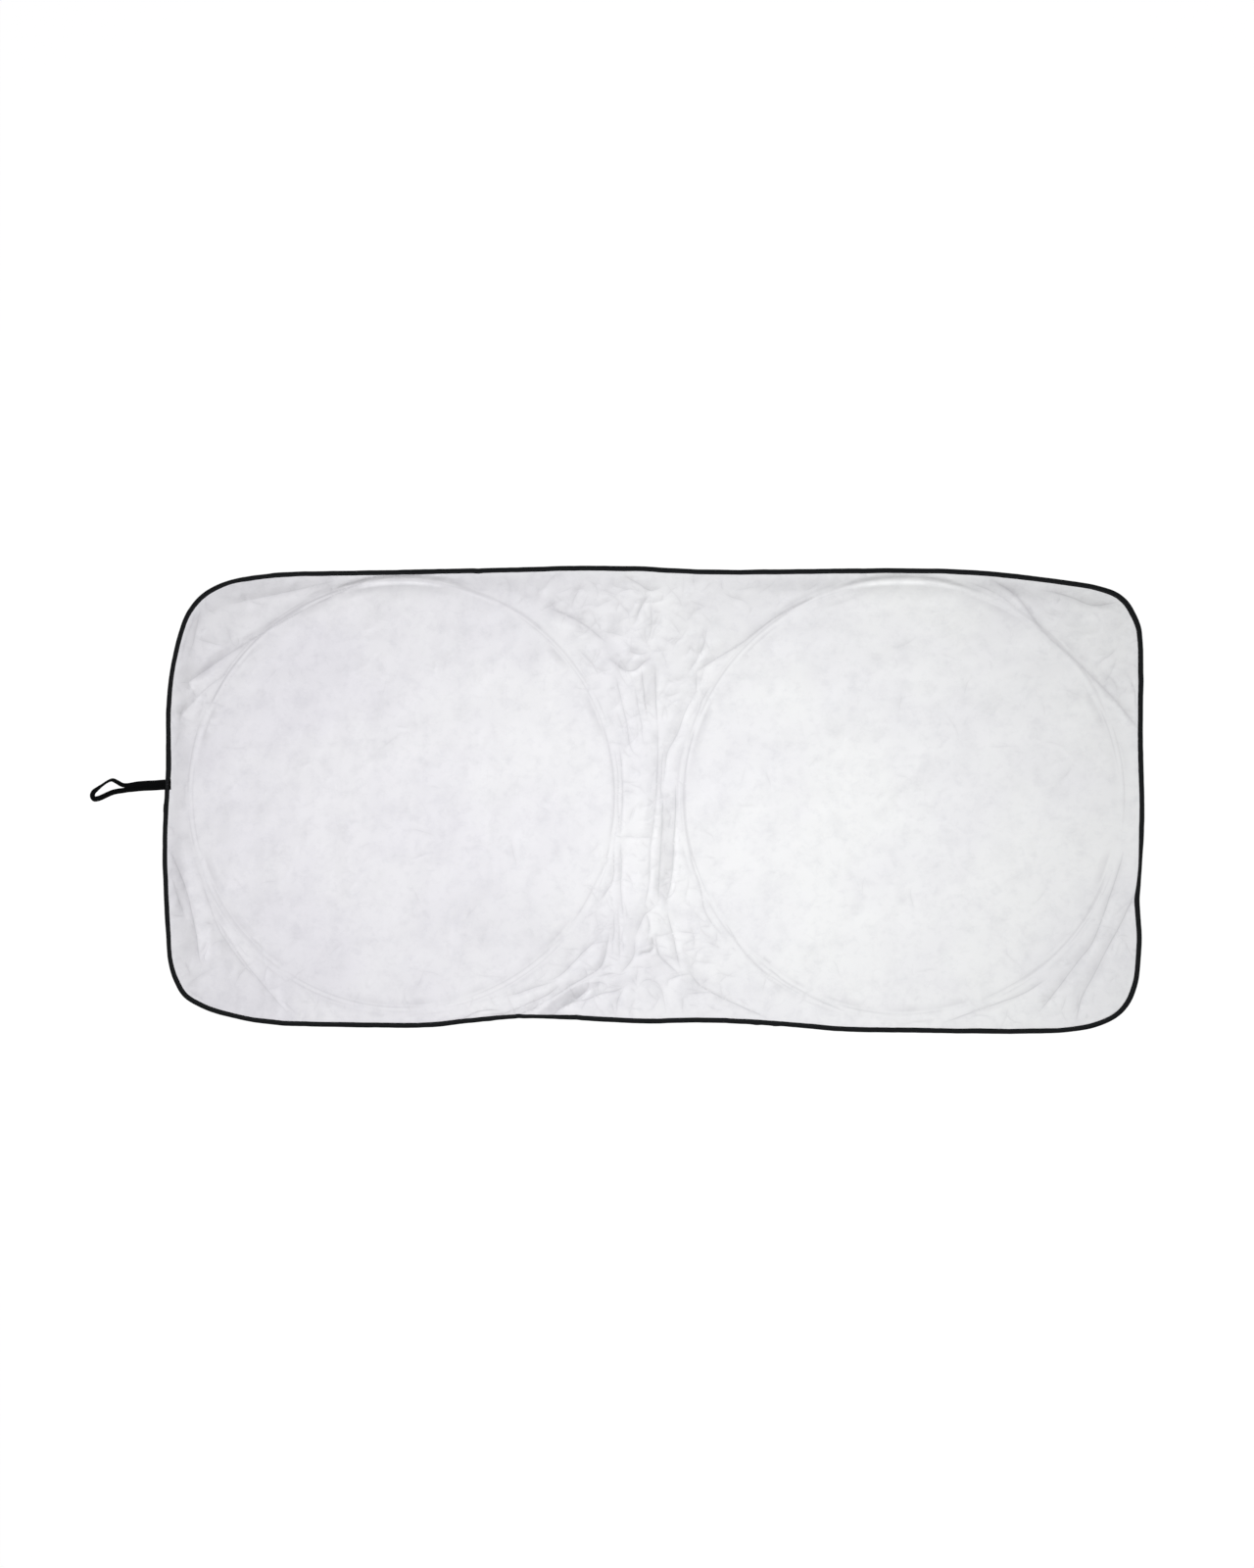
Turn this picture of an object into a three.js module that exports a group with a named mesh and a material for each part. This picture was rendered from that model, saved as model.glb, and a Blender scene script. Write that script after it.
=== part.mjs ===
// Twin-hoop windscreen sunshade, opened out and lying flat on its rear panel.
// Sizes are in millimetres. X runs along the shade, Y across it and Z up from the surface
// it lies on. The origin is the middle of the rear panel's underside.
import * as THREE from 'three';

// Hoops: flat spring-steel bands, standing on edge between the panels
const hoopDiameter = 660;
const bandHeight = 3.5;
const bandThickness = 0.9;
const hoopSteps = 60;
const leftHoopY = 5;
const rightHoopY = 0;

// Sleeves: each joins the two ends of a band at the hoop's lower side
const sleeveLength = 28;
const sleeveWall = 0.35;
const sleeveFit = 0.2;
const bandEndGap = 1;

// Cloth left flat around the hoops, measured to the binding's inner edge
const leftEndRoom = 37.5;
const middleRoom = 101;
const rightEndRoom = 26.5;
const sideRoom = 17.5;

// Cloth, binding tape and the clearance that keeps neighbours apart
const clothThickness = 0.3;
const tapeThickness = 0.4;
const bindingWidth = 7.5;
const bindingRound = 0.5;
const clearance = 0.3;
const sheetInset = 1.2;

// Front panel over a hoop: a flat crest with a slope on each side
const crestRoom = 1.2;
const slopeRun = 5;
const slopeShare = 0.6;

// Rear panel: the slope by which it rises into the binding
const rearRise = 10;

// Soft unevenness and folds of the front panel
const waveHeight = 1.4;
const waveLength = 190;
const foldHeight = 10;
const foldWidth = 14;
const foldFade = 14;

// Loop strap: a narrow tape with both ends sewn on top of the binding
const strapWidth = 7;
const strapThickness = 0.9;
const strapY = 20.5;
const strapSteps = 3;

// Mesh steps. A ring inside a hoop is [share of the hoop's radius, share of the points].
const edgeStep = 28;
const middleStep = 20;
const outerBands = 6;
const discRings = [[0.76, 0.75], [0.5, 0.45], [0.24, 0.2]];

// The outer edge, clockwise from the left end. A corner place is [in from the end, in from
// the side], and a side place is [share of the half size, in from the side].
const leftSide = [[-0.2, 0], [0.13, 5], [0.4, 6]];
const topLeftCorner = [[13, 151], [29, 88], [43, 60], [68, 35], [114, 17], [175, 8]];
const topSide = [[-0.56, 5], [-0.28, 2], [-0.14, 0], [0, 2], [0.12, 7], [0.52, 7], [0.67, 11]];
const topRightCorner = [[128, 25], [70, 35], [41, 45], [23, 60], [12, 79], [5, 98], [2, 127]];
const rightSide = [[0.25, 2], [-0.1, 0], [-0.44, 6], [-0.6, 4]];
const bottomRightCorner = [[6, 103], [10, 76], [21, 47], [41, 25], [70, 11], [121, 2]];
const bottomSide = [
  [0.52, 0], [0.4, 1], [0.28, 8], [0.12, 13], [0, 11], [-0.08, 13],
  [-0.2, 17], [-0.28, 16], [-0.36, 10], [-0.44, 3], [-0.6, 2],
];
const bottomLeftCorner = [[175, 5], [114, 14], [59, 31], [32, 48], [17, 73], [9, 103], [4, 164]];

// Folds of the front panel: height and width to each side in shares of foldHeight and
// foldWidth, and a line of places in shares of the half length and half width
const folds = [
  // Round the left hoop
  { height: 0.5, width: 0.93, line: [[-0.95, 0.5], [-0.85, 0.64], [-0.71, 0.81], [-0.57, 0.95]] },
  { height: 0.4, width: 1, line: [[-0.92, 0.83], [-0.96, 0.58]] },
  { height: 0.4, width: 1, line: [[-0.98, -0.24], [-0.95, -0.38], [-0.92, -0.61]] },
  { height: 0.5, width: 0.93, line: [[-0.89, -0.52], [-0.83, -0.71], [-0.74, -0.93]] },
  { height: 0.5, width: 0.93, line: [[-0.08, -0.6], [-0.14, -0.73], [-0.28, -0.88]] },
  // Between the hoops, from the top down
  { height: 0.4, width: 0.93, line: [[-0.04, 0.97], [0.015, 0.9], [-0.02, 0.76]] },
  { height: 0.6, width: 1, line: [[-0.2, 0.83], [-0.13, 0.8], [-0.06, 0.66], [0, 0.6], [0.08, 0.59]] },
  { height: 0.5, width: 0.93, line: [[-0.055, 0.52], [-0.03, 0.28], [-0.035, -0.15], [-0.05, -0.67]] },
  { height: 0.8, width: 1.07, line: [[0.02, 0.31], [0.02, -0.05], [0.01, -0.12], [0.01, -0.47]] },
  { height: 0.7, width: 0.93, line: [[0.1, 0.43], [0.066, 0.3], [0.035, -0.09], [0.042, -0.42]] },
  { height: 0.9, width: 1, line: [[0.05, -0.41], [-0.01, -0.54], [-0.03, -0.69], [-0.08, -0.75]] },
  { height: 1, width: 1.07, line: [[-0.1, -0.74], [-0.16, -0.84], [-0.22, -0.9], [-0.34, -0.93]] },
  { height: 0.7, width: 1, line: [[0.01, -0.66], [0.09, -0.75], [0.14, -0.83], [0.2, -0.92]] },
  // Round the right hoop
  { height: 0.6, width: 0.93, line: [[0.1, 0.55], [0.19, 0.66], [0.26, 0.77], [0.35, 0.87]] },
  { height: 0.5, width: 1, line: [[0.7, 0.93], [0.77, 0.78], [0.86, 0.6], [0.93, 0.46], [0.98, 0.3]] },
  { height: 0.4, width: 1.07, line: [[0.79, 0.88], [0.89, 0.83], [0.95, 0.85]] },
  { height: 0.5, width: 1, line: [[0.98, -0.38], [0.93, -0.6], [0.87, -0.86]] },
  { height: 0.4, width: 0.93, line: [[0.96, -0.24], [0.92, -0.56], [0.84, -0.79], [0.79, -0.89]] },
  { height: 0.5, width: 1, line: [[0.22, -0.69], [0.3, -0.8], [0.4, -0.9]] },
];

// Strap: [x out from its root, y, share of the height of its seat, tilt in degrees], from
// the end on the binding round the loop to the other end
const strapPlaces = [
  [7.5, 3.8, 1, 0], [1, 3.7, 1, 0], [-5, 3.5, 0.7, 0], [-13, 3.1, 0.12, 0], [-21, 2.6, 0, 0],
  [-34, 1.9, 0, 0], [-47, 1.3, 0, 8], [-59.5, 0.1, 0, 40], [-68, 0.9, 0, 50], [-75, 5, 0, 58],
  [-83, 8.2, 0, 62], [-90.5, 4.6, 0, 66], [-99, -0.6, 0, 74], [-107, -5.6, 0, 62],
  [-113.5, -11.2, 0, 25], [-115.3, -17.5, 0, 12], [-112.6, -22, 0, 10], [-107, -22.8, 0, 8],
  [-96, -18, 0, 0], [-86, -13.4, 0, 0], [-76.7, -9.8, 0, 0], [-63.4, -8.1, 0, 0],
  [-44, -6.8, 0, 0], [-30, -5.6, 0, 0], [-21, -4.9, 0, 0], [-13, -4.4, 0.12, 0],
  [-5, -4, 0.7, 0], [1, -3.8, 1, 0], [7.5, -3.8, 1, 0],
];

// Overall size and the hoops' places, which follow from the sizes above
const hoopRadius = hoopDiameter / 2;
const halfWidth = hoopRadius + sideRoom + bindingWidth;
const halfLength = (leftEndRoom + middleRoom + rightEndRoom) / 2 + hoopDiameter + bindingWidth;
const leftHoopX = -halfLength + bindingWidth + leftEndRoom + hoopRadius;
const rightHoopX = halfLength - bindingWidth - rightEndRoom - hoopRadius;

// Heights of the layers
const sleeveBottom = clothThickness + clearance;
const bandBottom = sleeveBottom + sleeveWall + sleeveFit;
const bandTop = bandBottom + bandHeight;
const sleeveTop = bandTop + sleeveFit + sleeveWall;
const crestLevel = sleeveTop + clearance;
const rearEdgeLevel = tapeThickness + clearance;
const frontLevel = rearEdgeLevel + clothThickness + clearance;
const bindingHeight = frontLevel + clothThickness + clearance + tapeThickness;

// Distances from the band's middle line to the crest's edges
const sleeveHalfThickness = bandThickness / 2 + sleeveFit + sleeveWall;
const crestHalfWidth = sleeveHalfThickness + crestRoom;

const cloth = { color: '#e6e6eb', roughness: 0.9, metalness: 0 };
const blackTape = { color: '#1a1b1d', roughness: 0.85, metalness: 0 };
const springSteel = { color: '#8f9296', roughness: 0.4, metalness: 0.9 };
const zincSteel = { color: '#b3b5b8', roughness: 0.35, metalness: 0.9 };

const shade = new THREE.Group();

function addPiece(name, geometry, finish) {
  geometry.computeVertexNormals();
  const piece = new THREE.Mesh(geometry, new THREE.MeshStandardMaterial(finish));
  piece.name = name;
  shade.add(piece);
  return piece;
}

function closedBody(corners, faces) {
  const numbers = corners.flatMap((corner) => [corner.x, corner.y, corner.z]);
  const geometry = new THREE.BufferGeometry();
  geometry.setAttribute('position', new THREE.Float32BufferAttribute(numbers, 3));
  geometry.setIndex(faces.flat());
  return geometry;
}

// Joins a row of sections, each listed clockwise as seen looking along the row. A ring runs
// back into its first section, and any other row gets an end face at both ends.
function sweepSections(sections, ring) {
  const size = sections[0].length;
  const spans = ring ? sections.length : sections.length - 1;
  const faces = [];
  for (let i = 0; i < spans; i += 1) {
    const here = i * size;
    const next = ((i + 1) % sections.length) * size;
    for (let k = 0; k < size; k += 1) {
      const side = (k + 1) % size;
      faces.push([here + k, next + side, next + k]);
      faces.push([here + k, here + side, next + side]);
    }
  }
  if (!ring) {
    const last = (sections.length - 1) * size;
    for (let k = 1; k < size - 1; k += 1) {
      faces.push([0, k + 1, k]);
      faces.push([last, last + k, last + k + 1]);
    }
  }
  return closedBody(sections.flat(), faces);
}

// Outline

function cornerPlaces(endSign, sideSign, places) {
  return places.map(
    ([fromEnd, fromSide]) =>
      new THREE.Vector2(endSign * (halfLength - fromEnd), sideSign * (halfWidth - fromSide)),
  );
}

function longSidePlaces(sideSign, places) {
  return places.map(
    ([share, inset]) => new THREE.Vector2(share * halfLength, sideSign * (halfWidth - inset)),
  );
}

function endPlaces(endSign, places) {
  return places.map(
    ([share, inset]) => new THREE.Vector2(endSign * (halfLength - inset), share * halfWidth),
  );
}

const edgePlaces = [
  ...endPlaces(-1, leftSide),
  ...cornerPlaces(-1, 1, topLeftCorner),
  ...longSidePlaces(1, topSide),
  ...cornerPlaces(1, 1, topRightCorner),
  ...endPlaces(1, rightSide),
  ...cornerPlaces(1, -1, bottomRightCorner),
  ...longSidePlaces(-1, bottomSide),
  ...cornerPlaces(-1, -1, bottomLeftCorner),
];

// Stations along the edge, about edgeStep apart. Each holds its outer point and the
// direction that points into the shade.
function edgeStations() {
  const places = edgePlaces.map((place) => new THREE.Vector3(place.x, place.y, 0));
  const curve = new THREE.CatmullRomCurve3(places, true, 'centripetal');
  const stations = [];
  places.forEach((place, i) => {
    const next = places[(i + 1) % places.length];
    const steps = Math.max(1, Math.round(place.distanceTo(next) / edgeStep));
    for (let k = 0; k < steps; k += 1) {
      const share = (i + k / steps) / places.length;
      const point = curve.getPoint(share);
      const along = curve.getTangent(share);
      stations.push({
        outer: new THREE.Vector2(point.x, point.y),
        inward: new THREE.Vector2(along.y, -along.x).normalize(),
      });
    }
  });
  return stations;
}

const stations = edgeStations();

function insetPoint(station, distance) {
  return station.outer.clone().addScaledVector(station.inward, distance);
}

const bindingLine = stations.map((station) => insetPoint(station, bindingWidth));

function distanceToLine(point, line) {
  let nearest = Infinity;
  for (let i = 0; i < line.length - 1; i += 1) {
    const run = line[i + 1].clone().sub(line[i]);
    const offset = point.clone().sub(line[i]);
    const share = THREE.MathUtils.clamp(offset.dot(run) / run.lengthSq(), 0, 1);
    nearest = Math.min(nearest, offset.addScaledVector(run, -share).length());
  }
  return nearest;
}

// Front panel

const foldLines = folds.map(({ line }) =>
  line.map(([x, y]) => new THREE.Vector2(x * halfLength, y * halfWidth)),
);

// How far the cloth stands above its lowest level: broad waves and the main folds, which
// run out before the binding
function clothLift(point) {
  const turn = (2 * Math.PI) / waveLength;
  const first = Math.sin(point.x * turn + 1) * Math.sin(point.y * turn * 1.2 + 2);
  const second = Math.sin((point.x + point.y) * turn * 0.7) * Math.cos((point.x - point.y) * turn);
  let lift = waveHeight * (0.5 + 0.25 * first + 0.25 * second);
  folds.forEach((fold, i) => {
    const away = distanceToLine(point, foldLines[i]) / (fold.width * foldWidth);
    lift += fold.height * foldHeight * Math.exp(-away * away);
  });
  const edge = distanceToLine(point, [...bindingLine, bindingLine[0]]);
  return lift * THREE.MathUtils.smoothstep(edge, 0, foldFade);
}

// Faces between an outer and an inner loop of point numbers. Both run clockwise from the
// same direction, and the inner one may have fewer points.
function bandFaces(outer, inner) {
  const faces = [];
  let i = 0;
  let k = 0;
  while (i < outer.length || k < inner.length) {
    const outerHere = outer[i % outer.length];
    const innerHere = inner[k % inner.length];
    if (k >= inner.length || (i + 1) / outer.length <= (k + 1) / inner.length) {
      faces.push([outer[(i + 1) % outer.length], outerHere, innerHere]);
      i += 1;
    } else {
      faces.push([innerHere, inner[(k + 1) % inner.length], outerHere]);
      k += 1;
    }
  }
  return faces;
}

// A sheet of cloth from its flat points, the height of its underside at each point, its
// upward faces and its rim, which runs clockwise
function sheetBody(points, undersides, faces, rim) {
  const count = points.length;
  const corners = points.map((point, i) => new THREE.Vector3(point.x, point.y, undersides[i]));
  const upper = corners.map((corner) => corner.clone().setZ(corner.z + clothThickness));
  const lowerFaces = faces.map(([a, b, c]) => [a, c, b]);
  const upperFaces = faces.map(([a, b, c]) => [a + count, b + count, c + count]);
  const rimFaces = rim.flatMap((here, i) => {
    const next = rim[(i + 1) % rim.length];
    return [[here, here + count, next + count], [here, next + count, next]];
  });
  return closedBody([...corners, ...upper], [...lowerFaces, ...upperFaces, ...rimFaces]);
}

function buildFrontPanel() {
  const points = [];
  const undersides = [];
  const faces = [];
  const addPoint = (point, level) => {
    points.push(point);
    undersides.push(level);
    return points.length - 1;
  };

  const rim = stations.map((station) => addPoint(insetPoint(station, sheetInset), frontLevel));
  const hem = bindingLine.map((point) => addPoint(point, frontLevel));
  faces.push(...bandFaces(rim, hem));

  const middleTop = stations.findIndex(({ outer }) => outer.y > 0 && Math.abs(outer.x) < 1e-6);
  const middleLow = stations.findIndex(({ outer }) => outer.y < 0 && Math.abs(outer.x) < 1e-6);
  const top = bindingLine[middleTop];
  const low = bindingLine[middleLow];
  const middleCount = Math.round(top.distanceTo(low) / middleStep);
  const middle = [];
  for (let k = 1; k < middleCount; k += 1) {
    const point = top.clone().lerp(low, k / middleCount);
    middle.push(addPoint(point, frontLevel + clothLift(point)));
  }

  // Each half is a fan of rings round its hoop, out to the binding and the middle line
  const addHalf = (centre, loop) => {
    const rays = loop.map((index) => points[index].clone().sub(centre));
    const ringAt = (radiusOf, levelOf) =>
      rays.map((ray) => {
        const point = centre.clone().addScaledVector(ray, radiusOf(ray.length()) / ray.length());
        return addPoint(point, levelOf(point));
      });
    const flat = (point) => frontLevel + clothLift(point);
    const crest = (point) => crestLevel + clothLift(point) / 2;
    const crestOuter = hoopRadius + crestHalfWidth;
    const crestInner = hoopRadius - crestHalfWidth;
    const footOuter = (room) => crestOuter + Math.min(slopeRun, slopeShare * (room - crestOuter));

    let outer = loop;
    const addRing = (ring) => {
      faces.push(...bandFaces(outer, ring));
      outer = ring;
    };
    for (let k = 1; k <= outerBands; k += 1) {
      addRing(ringAt((room) => THREE.MathUtils.lerp(room, footOuter(room), k / outerBands), flat));
    }
    addRing(ringAt(() => crestOuter, crest));
    addRing(ringAt(() => crestInner, crest));
    addRing(ringAt(() => crestInner - slopeRun, flat));
    discRings.forEach(([radiusShare, countShare]) => {
      const count = Math.round(rays.length * countShare);
      const ring = Array.from({ length: count }, (_, k) => {
        const ray = rays[Math.round((k * rays.length) / count)];
        const point = centre.clone().addScaledVector(ray, (radiusShare * hoopRadius) / ray.length());
        return addPoint(point, flat(point));
      });
      addRing(ring);
    });
    const pole = addPoint(centre, flat(centre));
    outer.forEach((here, i) => faces.push([outer[(i + 1) % outer.length], here, pole]));
  };

  const turned = (from, to) => {
    const count = (to - from + hem.length) % hem.length;
    return Array.from({ length: count + 1 }, (_, k) => hem[(from + k) % hem.length]);
  };
  addHalf(new THREE.Vector2(leftHoopX, leftHoopY), [...turned(middleLow, middleTop), ...middle]);
  addHalf(
    new THREE.Vector2(rightHoopX, rightHoopY),
    [...turned(middleTop, middleLow), ...middle.slice().reverse()],
  );
  return sheetBody(points, undersides, faces, rim);
}

// Rear panel: flat on the surface below, and lifted into the binding along its edge

function buildRearPanel() {
  const count = stations.length;
  const insets = [sheetInset, bindingWidth, bindingWidth + rearRise];
  const levels = [rearEdgeLevel, rearEdgeLevel, 0];
  const points = insets.flatMap((inset) => stations.map((station) => insetPoint(station, inset)));
  const undersides = levels.flatMap((level) => Array(count).fill(level));
  const [rim, hem, flat] = insets.map((_, ring) =>
    Array.from({ length: count }, (_, i) => ring * count + i),
  );
  const flatPoints = flat.map((index) => points[index]);
  const inside = THREE.ShapeUtils.triangulateShape(flatPoints, []).map((face) => {
    const [a, b, c] = face.map((index) => flatPoints[index]);
    const upward = b.clone().sub(a).cross(c.clone().sub(a)) > 0;
    return (upward ? face : [face[0], face[2], face[1]]).map((index) => flat[index]);
  });
  const faces = [...bandFaces(rim, hem), ...bandFaces(hem, flat), ...inside];
  return sheetBody(points, undersides, faces, rim);
}

// Edge binding: one tape, folded round the edges of both panels

function buildBinding() {
  const lowerLeg = tapeThickness;
  const upperLeg = bindingHeight - tapeThickness;
  const profile = [
    [bindingWidth, 0], [bindingRound, 0], [0, bindingRound], [0, bindingHeight - bindingRound],
    [bindingRound, bindingHeight], [bindingWidth, bindingHeight], [bindingWidth, upperLeg],
    [tapeThickness, upperLeg], [tapeThickness, lowerLeg], [bindingWidth, lowerLeg],
  ];
  const sections = stations.map((station) =>
    profile.map(([inset, z]) => {
      const point = insetPoint(station, inset);
      return new THREE.Vector3(point.x, point.y, z);
    }),
  );
  return sweepSections(sections, true);
}

// Hoops and sleeves

// A band is straight inside its sleeve, where its ends meet, and round everywhere else
function buildBand(centreX, centreY) {
  const straight = Math.asin((sleeveLength / 2 + sleeveFit) / hoopRadius);
  const chordY = -hoopRadius * Math.cos(straight);
  const line = [new THREE.Vector3(bandEndGap / 2, chordY, 0)];
  for (let k = 0; k <= hoopSteps; k += 1) {
    const angle = straight + (2 * Math.PI - 2 * straight) * (k / hoopSteps);
    line.push(new THREE.Vector3(Math.sin(angle), -Math.cos(angle), 0).multiplyScalar(hoopRadius));
  }
  line.push(new THREE.Vector3(-bandEndGap / 2, chordY, 0));
  const half = bandThickness / 2;
  const sections = line.map((point, i) => {
    const isEnd = i === 0 || i === line.length - 1;
    const outward = isEnd ? new THREE.Vector3(0, -1, 0) : point.clone().normalize();
    const corner = (side, z) =>
      new THREE.Vector3(centreX, centreY, z).add(point).addScaledVector(outward, side * half);
    return [corner(-1, bandBottom), corner(-1, bandTop), corner(1, bandTop), corner(1, bandBottom)];
  });
  return sweepSections(sections, false);
}

function rectangle(PathClass, halfX, halfY) {
  const path = new PathClass();
  path.moveTo(-halfX, -halfY);
  path.lineTo(halfX, -halfY);
  path.lineTo(halfX, halfY);
  path.lineTo(-halfX, halfY);
  path.closePath();
  return path;
}

function buildSleeve(centreX, centreY) {
  const straight = Math.asin((sleeveLength / 2 + sleeveFit) / hoopRadius);
  const halfHeight = bandHeight / 2 + sleeveFit;
  const section = rectangle(THREE.Shape, sleeveHalfThickness, halfHeight + sleeveWall);
  section.holes.push(rectangle(THREE.Path, bandThickness / 2 + sleeveFit, halfHeight));
  const geometry = new THREE.ExtrudeGeometry(section, { depth: sleeveLength, bevelEnabled: false });
  geometry.translate(0, 0, -sleeveLength / 2);
  geometry.rotateX(Math.PI / 2);
  geometry.rotateZ(Math.PI / 2);
  geometry.translate(
    centreX,
    centreY - hoopRadius * Math.cos(straight),
    (bandBottom + bandTop) / 2,
  );
  return geometry;
}

// Strap loop

// Where the binding's outer edge at the left end crosses a given Y
function leftEdgeAt(y) {
  const i = stations.findIndex((station, k) => {
    const next = stations[(k + 1) % stations.length];
    return station.outer.x < 0 && station.outer.y <= y && next.outer.y > y;
  });
  const here = stations[i].outer;
  const next = stations[(i + 1) % stations.length].outer;
  return THREE.MathUtils.mapLinear(y, here.y, next.y, here.x, next.x);
}

function buildStrap() {
  const rootX = leftEdgeAt(strapY);
  const seat = bindingHeight + clearance;
  const middles = strapPlaces.map(([x, y]) => new THREE.Vector3(rootX + x, strapY + y, 0));
  const stances = strapPlaces.map(([, , lift, tilt]) => new THREE.Vector3(lift, tilt, 0));
  const route = new THREE.CatmullRomCurve3(middles);
  const stance = new THREE.CatmullRomCurve3(stances);
  const steps = (strapPlaces.length - 1) * strapSteps;
  const centres = [];
  const tilts = [];
  for (let i = 0; i <= steps; i += 1) {
    const tilt = THREE.MathUtils.degToRad(Math.max(0, stance.getPoint(i / steps).y));
    const halfRise = (strapWidth * Math.sin(tilt) + strapThickness * Math.cos(tilt)) / 2;
    const lift = THREE.MathUtils.clamp(stance.getPoint(i / steps).x, 0, 1) * seat;
    centres.push(route.getPoint(i / steps).setZ(lift + halfRise));
    tilts.push(tilt);
  }
  const up = new THREE.Vector3(0, 0, 1);
  const sections = centres.map((centre, i) => {
    const before = centres[Math.max(0, i - 1)];
    const after = centres[Math.min(steps, i + 1)];
    const along = after.clone().sub(before).normalize();
    const level = up.clone().cross(along).normalize();
    const across = level.clone().applyAxisAngle(along, tilts[i]);
    const normal = along.clone().cross(across);
    const corner = (side, face) =>
      centre
        .clone()
        .addScaledVector(across, (side * strapWidth) / 2)
        .addScaledVector(normal, (face * strapThickness) / 2);
    return [corner(-1, -1), corner(1, -1), corner(1, 1), corner(-1, 1)];
  });
  return sweepSections(sections, false);
}

addPiece('rear_panel', buildRearPanel(), cloth);
addPiece('front_panel', buildFrontPanel(), cloth);
addPiece('left_hoop', buildBand(leftHoopX, leftHoopY), springSteel);
addPiece('right_hoop', buildBand(rightHoopX, rightHoopY), springSteel);
addPiece('left_hoop_sleeve', buildSleeve(leftHoopX, leftHoopY), zincSteel);
addPiece('right_hoop_sleeve', buildSleeve(rightHoopX, rightHoopY), zincSteel);
addPiece('edge_binding', buildBinding(), blackTape);
addPiece('strap_loop', buildStrap(), blackTape);

export default shade;
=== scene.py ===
# Folding windscreen sunshade, opened out flat: white cloth over two spring hoops, a black
# edge binding and a tape loop. Lengths in the dictionaries are in millimetres.
import math
import random

import bpy
import numpy as np
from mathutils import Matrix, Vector, geometry, noise


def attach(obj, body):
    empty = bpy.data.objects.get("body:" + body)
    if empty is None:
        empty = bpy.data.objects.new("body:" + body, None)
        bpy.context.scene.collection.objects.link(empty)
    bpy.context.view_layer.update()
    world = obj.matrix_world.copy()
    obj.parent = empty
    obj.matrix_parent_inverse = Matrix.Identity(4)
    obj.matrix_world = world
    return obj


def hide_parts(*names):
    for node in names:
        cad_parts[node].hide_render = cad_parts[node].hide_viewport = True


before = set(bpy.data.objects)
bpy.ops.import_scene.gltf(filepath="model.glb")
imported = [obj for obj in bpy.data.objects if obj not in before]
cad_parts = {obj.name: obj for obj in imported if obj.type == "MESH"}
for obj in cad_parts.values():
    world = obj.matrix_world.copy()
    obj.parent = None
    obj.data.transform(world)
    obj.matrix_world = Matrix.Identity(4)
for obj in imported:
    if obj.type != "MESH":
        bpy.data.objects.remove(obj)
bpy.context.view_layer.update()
mm = 0.001


# curves and meshes

def smoothLine(places, spacing=None, steps=None, closed=False):
    # a Catmull-Rom line through the places, with points about spacing apart or steps to a span
    points = np.array(places, float)
    count = len(points)
    if closed:
        padded = np.vstack([points[-1], points, points[:2]])
    else:
        padded = np.vstack([2 * points[0] - points[1], points, 2 * points[-1] - points[-2]])
    line = []
    for i in range(count if closed else count - 1):
        before, start, end, after = padded[i:i + 4]
        first, middle, last = (
            math.sqrt(np.linalg.norm(b - a)) for a, b in ((before, start), (start, end), (end, after))
        )
        middle = middle if middle > 1e-4 else 1
        first = first if first > 1e-4 else middle
        last = last if last > 1e-4 else middle
        run = end - start
        leaving = run + middle * ((start - before) / first - (end - before) / (first + middle))
        arriving = run + middle * ((after - end) / last - (after - start) / (middle + last))
        pieces = steps or max(1, round(np.linalg.norm(run) / spacing))
        for k in range(pieces):
            t = k / pieces
            bend = t**2 * (3 * run - 2 * leaving - arriving) + t**3 * (leaving + arriving - 2 * run)
            line.append(start + t * leaving + bend)
    if not closed:
        line.append(points[-1])
    return np.array(line)


def unitRows(rows):
    return rows / np.linalg.norm(rows, axis=1)[:, None]


def headings(line):
    # which way a line runs at each of its points
    return unitRows(np.gradient(line, axis=0))


def leftOf(run):
    return np.column_stack([-run[:, 1], run[:, 0]])


def travelAlong(line):
    # how far along a line each of its points lies
    return np.concatenate([[0], np.cumsum(np.linalg.norm(np.diff(line, axis=0), axis=1))])


def closeUp(line):
    return np.vstack([line, line[:1]])


def nearLine(points, line, reach):
    return np.all((points > line.min(0) - reach) & (points < line.max(0) + reach), axis=1)


def bell(offset, width):
    return np.exp(-(offset / width) ** 2)


def darken(shade, near, dark):
    shade[near] = np.maximum(shade[near], dark)


def smoothStep(value, low, high):
    share = np.clip((value - low) / (high - low), 0, 1)
    return share * share * (3 - 2 * share)


def addPiece(name, corners, faces, material, uvRows=None):
    # corners are in millimetres; uvRows holds one (u, v) for each corner of each face
    mesh = bpy.data.meshes.new(name)
    mesh.from_pydata((np.asarray(corners) * mm).tolist(), [], faces)
    if uvRows is not None:
        layer = mesh.uv_layers.new(name="UVMap")
        layer.data.foreach_set("uv", np.asarray(uvRows, np.float32).ravel())
    mesh.materials.append(material)
    mesh.polygons.foreach_set("use_smooth", [True] * len(mesh.polygons))
    mesh.validate()
    piece = bpy.data.objects.new(name, mesh)
    bpy.context.scene.collection.objects.link(piece)
    return piece


# materials

def newMaterial(name, color, roughness, metallic=0.0, specular=0.5):
    material = bpy.data.materials.new(name)
    material.use_nodes = True
    shader = material.node_tree.nodes["Principled BSDF"]
    shader.inputs["Base Color"].default_value = (*color, 1)
    shader.inputs["Roughness"].default_value = roughness
    shader.inputs["Metallic"].default_value = metallic
    shader.inputs["Specular IOR Level"].default_value = specular
    return material, material.node_tree, shader


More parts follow.
